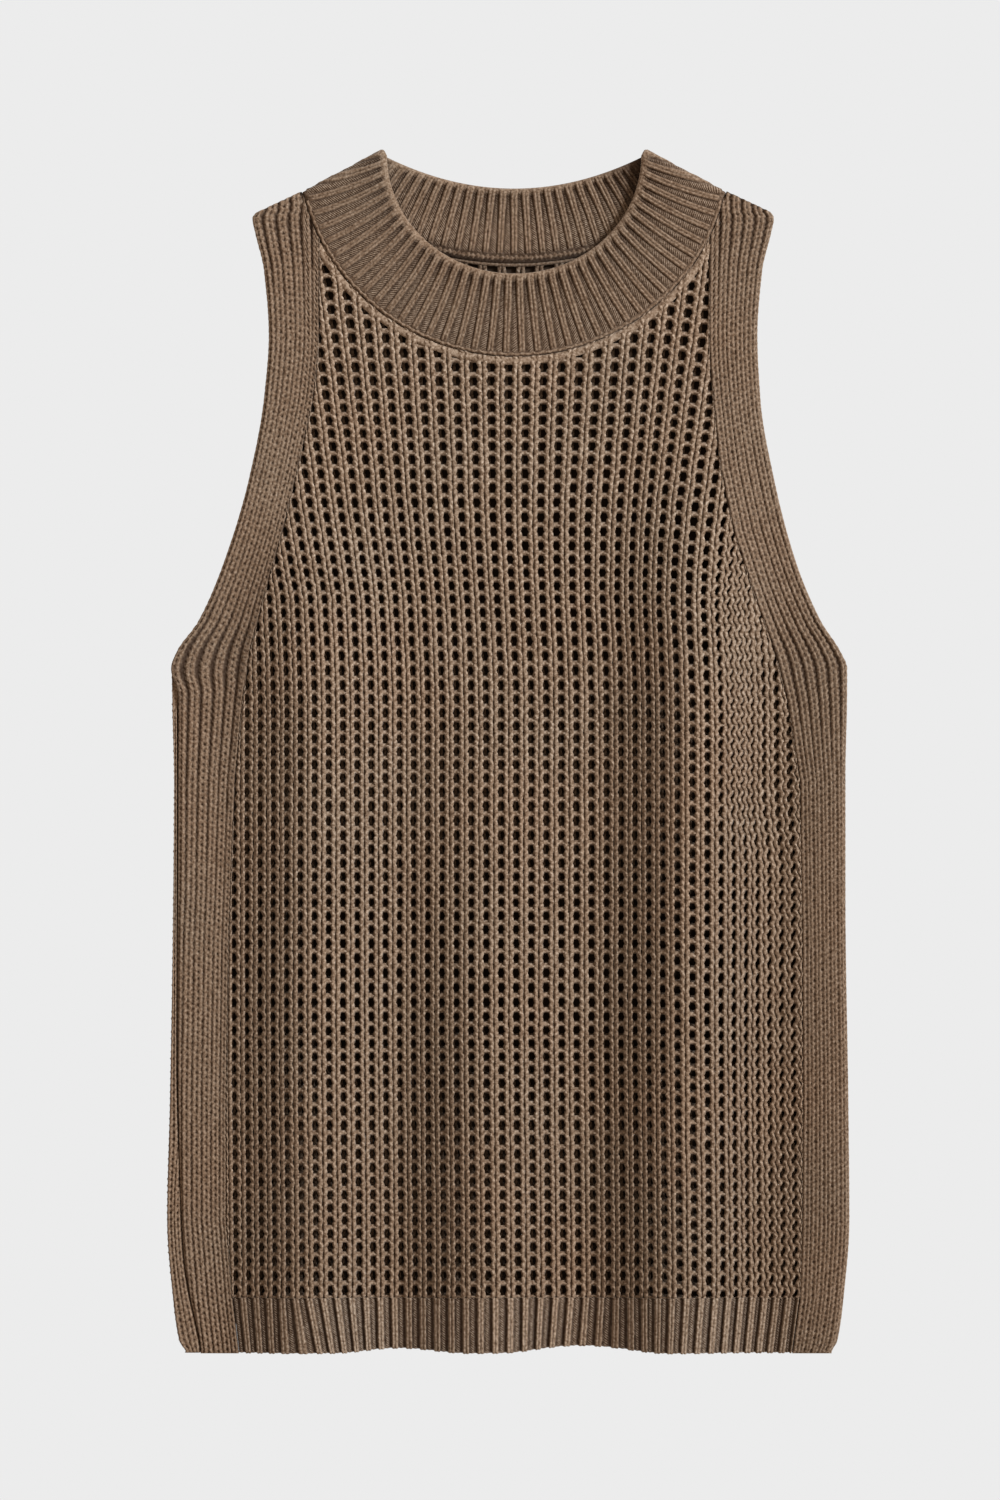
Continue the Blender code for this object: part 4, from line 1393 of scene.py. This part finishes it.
def band_loop(rib, index):
    """The section across the neckband at one point of a rib, round its lip and its seam edge.

    The ribs of the inner face stand in the middles of the outer face's recesses.
    """
    loop = []
    count = len(rib_points(1.0))

    def add(c, face, wall, worked, lip_turn=None, shade=0.0):
        pitch = rib_pitch(c)
        points = rib_points(pitch / 2)
        outer_offset, outer_fill = points[index]
        other = (index + count // 2) % count
        inner_offset, inner_fill = points[other]
        shifted = inner_offset + (pitch / 2 if other < index else -pitch / 2)
        across, filled, offset = inner_offset, inner_fill, shifted
        if face > 0:
            across, filled, offset = outer_offset, outer_fill, outer_offset
        if lip_turn is not None:
            t = lip_turn / math.pi
            offset = outer_offset * (1.0 - t) + shifted * t
        here = rib + 0.5 + offset / pitch
        inner, outer, turn, bend, front_share, openness = band_section(here, c)
        shown = front_share if face > 0 else min(1.0, 3.0 * openness)
        height = wall + (BAND_RIB_RISE * shown if lip_turn is None else 0.0)
        radius = fold_radius(c)
        reach = radius + face * height
        side = bend * math.sin(turn)
        flat = inner + (outer - inner) * c + side * reach
        z = BAND_WALL / 2 + radius + math.cos(turn) * reach
        out = Vector((side.x, side.y, math.cos(turn))) * face
        along = (outer - inner).normalized()
        if lip_turn is not None:
            tilt = min(lip_turn, math.pi - lip_turn)
            out = out * math.cos(tilt) - Vector((along.x, along.y, 0.0)) * math.sin(tilt)
        near_lip = max(0.0, 1.0 - (c - LIP) / LIP_RUN)
        purl = (BAND_RECESS + LIP_RECESS * near_lip) * shown
        amount = worked * (HIDDEN_WORK + (1.0 - HIDDEN_WORK) * shown)
        beside = across - math.copysign(pitch / 2, across)
        hatch = hatch_angle(beside, c * (outer - inner).length / MM)
        if face < 0:
            past_right = here - NECK_FRONT_RIBS + NECK_RIBS_CROSSING * c
            past_left = NECK_RIBS + NECK_RIBS_CROSSING * c - here
            shade += RIGHT_FOLD_SHADE * (1.0 - smooth(past_right / RIGHT_FOLD_RIBS))
            shade += LEFT_FOLD_SHADE * (1.0 - smooth(past_left / LEFT_FOLD_RIBS))
            shade += SEAM_SHADE * smooth((c - SEAM_SHADE_FROM) / SEAM_SHADE_RUN)
        numbers = (abs(across), c * BAND_COURSES, purl, amount, filled * worked, hatch, shade)
        loop.append(stitch((flat.x, flat.y, z), out, *numbers))

    def add_face(chain, c, seam):
        lower = chain.drop * MM if seam else 0.0
        worked = 0.0 if seam else min(1.0, (c - LIP) / 0.02)
        # the rows under the seam's chain lie lower and get painted shade
        add(c, chain.face, BAND_WALL / 2 - lower, worked, shade=0.6 if seam else 0.0)

    for c, seam in reversed(band_rows(CHAINS[0])):
        add_face(CHAINS[0], c, seam)
    for turn in (0, 30, 60, 90, 120, 150, 180):
        angle = math.radians(turn)
        face = 1.0 if turn <= 90 else -1.0
        c = LIP * 0.5 * (1.0 - math.sin(angle))
        add(c, face, abs(math.cos(angle)) * LIP_RADIUS, 0.0, lip_turn=angle)
    for c, seam in band_rows(CHAINS[1]):
        add_face(CHAINS[1], c, seam)
    return loop


def add_chain(piece, chain, first_rib, last_rib):
    """Sew a chain of loops along the band's seam."""
    bm = unpacked(piece)
    count = round((last_rib - first_rib) * LOOPS_A_RIB) * RINGS_A_LOOP
    radius = fold_radius(chain.share)
    reach = radius + chain.face * (BAND_WALL / 2 + chain.height * MM)
    places = []
    for k in range(count + 1):
        rib = first_rib + (last_rib - first_rib) * k / count
        inner, outer, turn = band_section(rib, chain.share)[:3]
        flat = inner + (outer - inner) * chain.share
        places.append(Vector((*flat, BAND_WALL / 2 + radius + math.cos(turn) * reach)))
    path = []
    for k, place in enumerate(places):
        ahead = places[min(k + 1, count)] - places[max(k - 1, 0)]
        across = Vector((ahead.y, -ahead.x, 0.0)).normalized()
        swing = math.sin(math.pi * k / RINGS_A_LOOP)
        thick = chain.radius * (0.65 + 0.35 * abs(swing)) * MM
        path.append((place + across * 0.25 * swing * MM, across, thick, 0.8 * thick))
    band_verts = len(bm.verts)
    add_yarn(bm, path, 6, "both")
    # painted shade on the chain's loops
    depth = bm.verts.layers.float["depth"]
    for vert in list(bm.verts)[band_verts:]:
        vert[depth] = chain.shade
    put_back(bm, piece)


def neckband(name):
    """The ribbed ring: its front half over its back half, bent round the two neck points."""
    points = len(rib_points(1.0))
    loops = [band_loop(rib, k) for rib in range(NECK_RIBS) for k in range(points)]
    return knitted_shell(name, loops, True)


# ---- Settings, operators and panel ----


def length(name, description, size, least):
    """A length of the yarn that a user may change, given in mm."""
    return bpy.props.FloatProperty(
        name=name,
        description=description,
        default=size * MM,
        min=least * MM,
        subtype="DISTANCE",
        unit="LENGTH",
        precision=5,
    )


def colour(name, description, hex_colour):
    """A colour that a user may change, given as sRGB hex."""
    return bpy.props.FloatVectorProperty(
        name=name,
        description=description,
        default=linear(hex_colour),
        subtype="COLOR",
        size=3,
        min=0.0,
        max=1.0,
    )


class VestSizes(bpy.types.PropertyGroup):
    """Sizes of the yarn and its stitches."""

    strand_width: length("Strand width", "Thickness of one upright strand of a wale", 2.7, 0.5)
    bar_width: length(
        "Bar width", "Thickness of the yarns that cross between two wales", 3.4, 0.5
    )
    swell: length(
        "Swell", "How far the two strands of a wale part where a bar crosses them", 0.45, 0.0
    )
    slant: length("Slant", "How far the leg of a stitch leans out over its height", 0.5, 0.0)
    wale_width: length(
        "Wale width", "Width of a wale of the open mesh, over both its strands", 5.0, 1.0
    )
    unevenness: bpy.props.FloatProperty(
        name="Unevenness",
        description="How far a stitch strays, as a share of a cell of the mesh",
        default=0.18,
        min=0.0,
        max=0.3,
        subtype="FACTOR",
    )


class VestColours(bpy.types.PropertyGroup):
    """Dyes of the yarn, the colour of its painted shade, and the floor."""

    grey_yarn: colour("Grey taupe", "Colour of the yarn in its greyer patches", "#918170")
    warm_yarn: colour("Warm taupe", "Colour of the yarn in its warmer patches", "#917a66")
    # painted shade: the colour that the yarn turns to where it lies deep between other yarns
    ground: colour("Ground", "Colour of the shaded ground between the yarns", "#29180d")
    floor: colour("Floor", "Colour of the plain floor", "#ececec")


def sizes():
    return bpy.context.scene.vest_sizes


def colours():
    return bpy.context.scene.vest_colours


# The front mesh as cut: its rows, its ungathered width in metres, and the share of that rectangle
# which is cloth, where the neck and the armholes take some away
FrontStretch = namedtuple("FrontStretch", "name first_row last_row width share")
FRONT_STRETCHES = (
    FrontStretch("front_mesh_lower", -1, 25, 0.35, None),
    FrontStretch("front_mesh_middle", 25, 50, 0.35, None),
    FrontStretch("front_mesh_upper", 50, 77, 0.31, 0.66),
)
DENSE_KNIT = {"Spread": 1.3, "Leg": 1.15, "Rise": 1.0, "Sway": 0.24, "Spots": 1.0, "Groove": 0.45}
OPEN_RIB = {"Spread": 1.0, "Leg": 0.95, "Rise": 0.7, "Sway": 0.05, "Spots": 0.25, "Groove": 0.9}


def mesh_piece(name, front, first_row, last_row, cell, tree, yarn):
    """Knit one stretch of rows of the open mesh."""
    values = {
        "Cell": cell,
        "First Row": first_row - FIRST_ROW + 1,
        "Rows": last_row - first_row,
        "Unevenness": sizes().unevenness,
        "Material": yarn,
    }
    piece = run_tree(mesh_ground(name, front, first_row, last_row), tree, values)
    close_yarn_ends(piece)
    return piece


class VEST_OT_front_mesh(bpy.types.Operator):
    """Knit the open mesh of the front, in three stretches of rows"""

    bl_idname = "vest.front_mesh"
    bl_label = "Knit front mesh"

    def execute(self, context):
        yarn = cotton_yarn("cotton_yarn_mesh", colours(), paleness=1.02, upward_lightening=0.55)
        cell = mesh_cell("mesh_cell", 5, 3, 5, True)
        tree = open_mesh_tree()
        for name, first, last, width, share in FRONT_STRETCHES:
            piece = mesh_piece(name, True, first, last, cell, tree, yarn)
            if last == LAST_ROW:
                add_picked_up_row(piece, True)
            declare(piece, ["front_mesh_panel"])
        bpy.data.objects.remove(cell)
        return {"FINISHED"}


class VEST_OT_back_mesh(bpy.types.Operator):
    """Knit the open mesh of the back, whose right side lies on the table"""

    bl_idname = "vest.back_mesh"
    bl_label = "Knit back mesh"

    def execute(self, context):
        yarn = cotton_yarn("cotton_yarn_back", colours(), folded=False)
        cell = mesh_cell("back_cell", 4, 1, 3, False)
        tree = open_mesh_tree()
        piece = mesh_piece("back_mesh", False, FIRST_ROW, LAST_ROW, cell, tree, yarn)
        add_picked_up_row(piece, False)
        declare(piece, ["back_mesh_panel"])
        bpy.data.objects.remove(cell)
        return {"FINISHED"}


class VEST_OT_borders(bpy.types.Operator):
    """Knit the dense borders of the front and the back"""

    bl_idname = "vest.borders"
    bl_label = "Knit borders"

    def execute(self, context):
        yarn = cotton_yarn("cotton_yarn_border", colours(), paleness=0.92)
        tree = relief_tree()

        def left(y):
            return seam_at("inner_left", y) - SEAM_GAP / 2

        def right(y):
            return seam_at("inner_right", y) + SEAM_GAP / 2

        shells = (
            front_border("front_border_l", side_seam, left, -1, 31.4 * MM, 0.85),
            front_border("front_border_r", outer_right, right, 1, 0.0, 1.0),
            back_border("back_border_l", outer_left, left, -1, True),
            back_border("back_border_r", outer_right, right, 1, False),
        )
        for seed, shell in enumerate(shells):
            piece = run_tree(shell, tree, {**DENSE_KNIT, "Seed": float(seed), "Material": yarn})
            face, _, side = piece.name.split("_")
            node = f"{face}_border_{'left' if side == 'l' else 'right'}"
            declare(piece, [node])
        return {"FINISHED"}


class VEST_OT_hems(bpy.types.Operator):
    """Knit the ribbed hems of the front and the back"""

    bl_idname = "vest.hems"
    bl_label = "Knit hems"

    def execute(self, context):
        yarn = cotton_yarn("cotton_yarn_hem", colours(), paleness=1.16)
        values = {**OPEN_RIB, "Wander": 0.5, "Material": yarn}
        tree = relief_tree()
        for name, below in (("front_hem", "back_hem"), ("back_hem", "table")):
            piece = run_tree(hem(name, name == "front_hem"), tree, values)
            declare(piece, [name + "_rib"])
        return {"FINISHED"}


class VEST_OT_neckband(bpy.types.Operator):
    """Knit the ribbed neckband"""

    bl_idname = "vest.neckband"
    bl_label = "Knit neckband"

    def execute(self, context):
        yarn = cotton_yarn("cotton_yarn_neckband", colours(), paleness=0.86, folded=False)
        values = {**OPEN_RIB, "Wander": 0.4, "Material": yarn}
        piece = run_tree(neckband("neck_rib"), relief_tree(), values)
        beside_fold = NECK_RIBS_CROSSING + 0.6
        add_chain(piece, CHAINS[0], beside_fold, NECK_FRONT_RIBS - beside_fold)
        add_chain(piece, CHAINS[1], NECK_FRONT_RIBS + 1.0, NECK_RIBS - 1.0)
        declare(piece, ["neckband"])
        return {"FINISHED"}


# ---- Stage ----

FLOOR_REACH = 30.0
FLOOR_DROP, CARD_DROP = 0.6 * MM, 0.3 * MM  # how far each lies below the vest
CARD_WIDE, CARD_LONG = 0.93, 0.95  # the card of painted shade as shares of the vest's outline
CARD_SHIFT = -1.0 * MM
ROOM_COLOUR, ROOM_STRENGTH = (1.0, 0.78, 0.6), 0.41  # warm, even light of the room
KEY_STRENGTH, KEY_WIDTH = 3.2, math.radians(16.0)  # a wide lamp, far off on the right
KEY_PLACE = (1.9, 0.9, 1.5)
LENS, FILM_HEIGHT = 85.0, 36.0  # in mm
FRAME_HEIGHT = 0.84  # length of the surface that the picture takes in
CAMERA_PLACE = (-4.2 * MM, 1.1 * MM)
CLOTH_HEIGHT = 6.0 * MM


def plain_material(name, inputs):
    """A material that is the same all over."""
    material = bpy.data.materials.new(name)
    material.use_nodes = True
    tree = material.node_tree
    fill(tree, tree.nodes["Principled BSDF"], inputs)
    return material


def lit_acrylic():
    """White acrylic lit from behind: one even pale grey, with no shine and no shadow on it."""
    inputs = {
        "Base Color": (0.0, 0.0, 0.0, 1.0),
        "Emission Color": (*colours().floor, 1.0),
        "Emission Strength": 1.0,
        "Roughness": 1.0,
        "Specular IOR Level": 0.0,
    }
    return plain_material("lit_acrylic_white", inputs)


def shade_card_material():
    """Painted shade: a dull brown-black sheet that stands for the shade under the vest behind the
    holes of the mesh.
    """
    inputs = {"Base Color": (*linear("#34281e"), 1.0), "Roughness": 1.0}
    return plain_material("felt_black", inputs)


def stage_sheet(name, corners, drop, material):
    """A flat sheet of the stage, a little below the vest."""
    mesh = bpy.data.meshes.new(name)
    mesh.from_pydata([(x, y, -drop) for x, y in corners], [], [tuple(range(len(corners)))])
    mesh.materials.append(material)
    new_object(name, mesh)


class VEST_OT_stage(bpy.types.Operator):
    """Lay the floor, hang the light and set the camera"""

    bl_idname = "vest.stage"
    bl_label = "Set the stage"

    def execute(self, context):
        scene = context.scene
        scene.view_settings.view_transform = "Standard"
        reach = FLOOR_REACH
        corners = [(-reach, -reach), (reach, -reach), (reach, reach), (-reach, reach)]
        stage_sheet("floor", corners, FLOOR_DROP, lit_acrylic())
        # a dark card of painted shade inside the vest's outline, seen through the holes of the mesh
        rim = [(x * CARD_WIDE, y * CARD_LONG + CARD_SHIFT) for x, y in vest_outline()]
        rim += [(mirrored(CORNER.x), CORNER.y), (CORNER.x, CORNER.y)]
        stage_sheet("card", rim, CARD_DROP, shade_card_material())

        world = bpy.data.worlds.new("studio")
        scene.world = world
        world.use_nodes = True
        studio = {"Color": (*ROOM_COLOUR, 1.0), "Strength": ROOM_STRENGTH}
        fill(world.node_tree, world.node_tree.nodes["Background"], studio)

        softbox = bpy.data.lights.new("key", "SUN")
        softbox.energy = KEY_STRENGTH
        softbox.angle = KEY_WIDTH
        key = new_object("key", softbox)
        key.location = KEY_PLACE
        key.rotation_euler = (-key.location).to_track_quat("-Z", "Y").to_euler()

        lens = bpy.data.cameras.new("camera")
        camera = new_object("camera", lens)
        lens.sensor_fit = "VERTICAL"
        lens.sensor_height = FILM_HEIGHT
        lens.lens = LENS
        camera.location = (*CAMERA_PLACE, CLOTH_HEIGHT + FRAME_HEIGHT * LENS / FILM_HEIGHT)
        scene.camera = camera
        return {"FINISHED"}


class VEST_PT_panel(bpy.types.Panel):
    """Lists the steps that make the vest"""

    bl_label = "Knitted vest"
    bl_idname = "VEST_PT_panel"
    bl_space_type = "VIEW_3D"
    bl_region_type = "UI"
    bl_category = "Vest"

    def draw(self, context):
        layout = self.layout
        for group in (context.scene.vest_sizes, context.scene.vest_colours):
            for name in group.__annotations__:
                layout.prop(group, name)
        for operator in OPERATORS:
            layout.operator(operator.bl_idname)


OPERATORS = (
    VEST_OT_back_mesh,
    VEST_OT_borders,
    VEST_OT_hems,
    VEST_OT_front_mesh,
    VEST_OT_neckband,
    VEST_OT_stage,
)
CLASSES = (VestSizes, VestColours, *OPERATORS, VEST_PT_panel)


def register():
    for cls in CLASSES:
        bpy.utils.register_class(cls)
    bpy.types.Scene.vest_sizes = bpy.props.PointerProperty(type=VestSizes)
    bpy.types.Scene.vest_colours = bpy.props.PointerProperty(type=VestColours)


def unregister():
    del bpy.types.Scene.vest_sizes, bpy.types.Scene.vest_colours
    for cls in reversed(CLASSES):
        bpy.utils.unregister_class(cls)


def main():
    register()
    for operator in OPERATORS:
        family, name = operator.bl_idname.split(".")
        getattr(getattr(bpy.ops, family), name)()


if __name__ == "__main__":
    main()
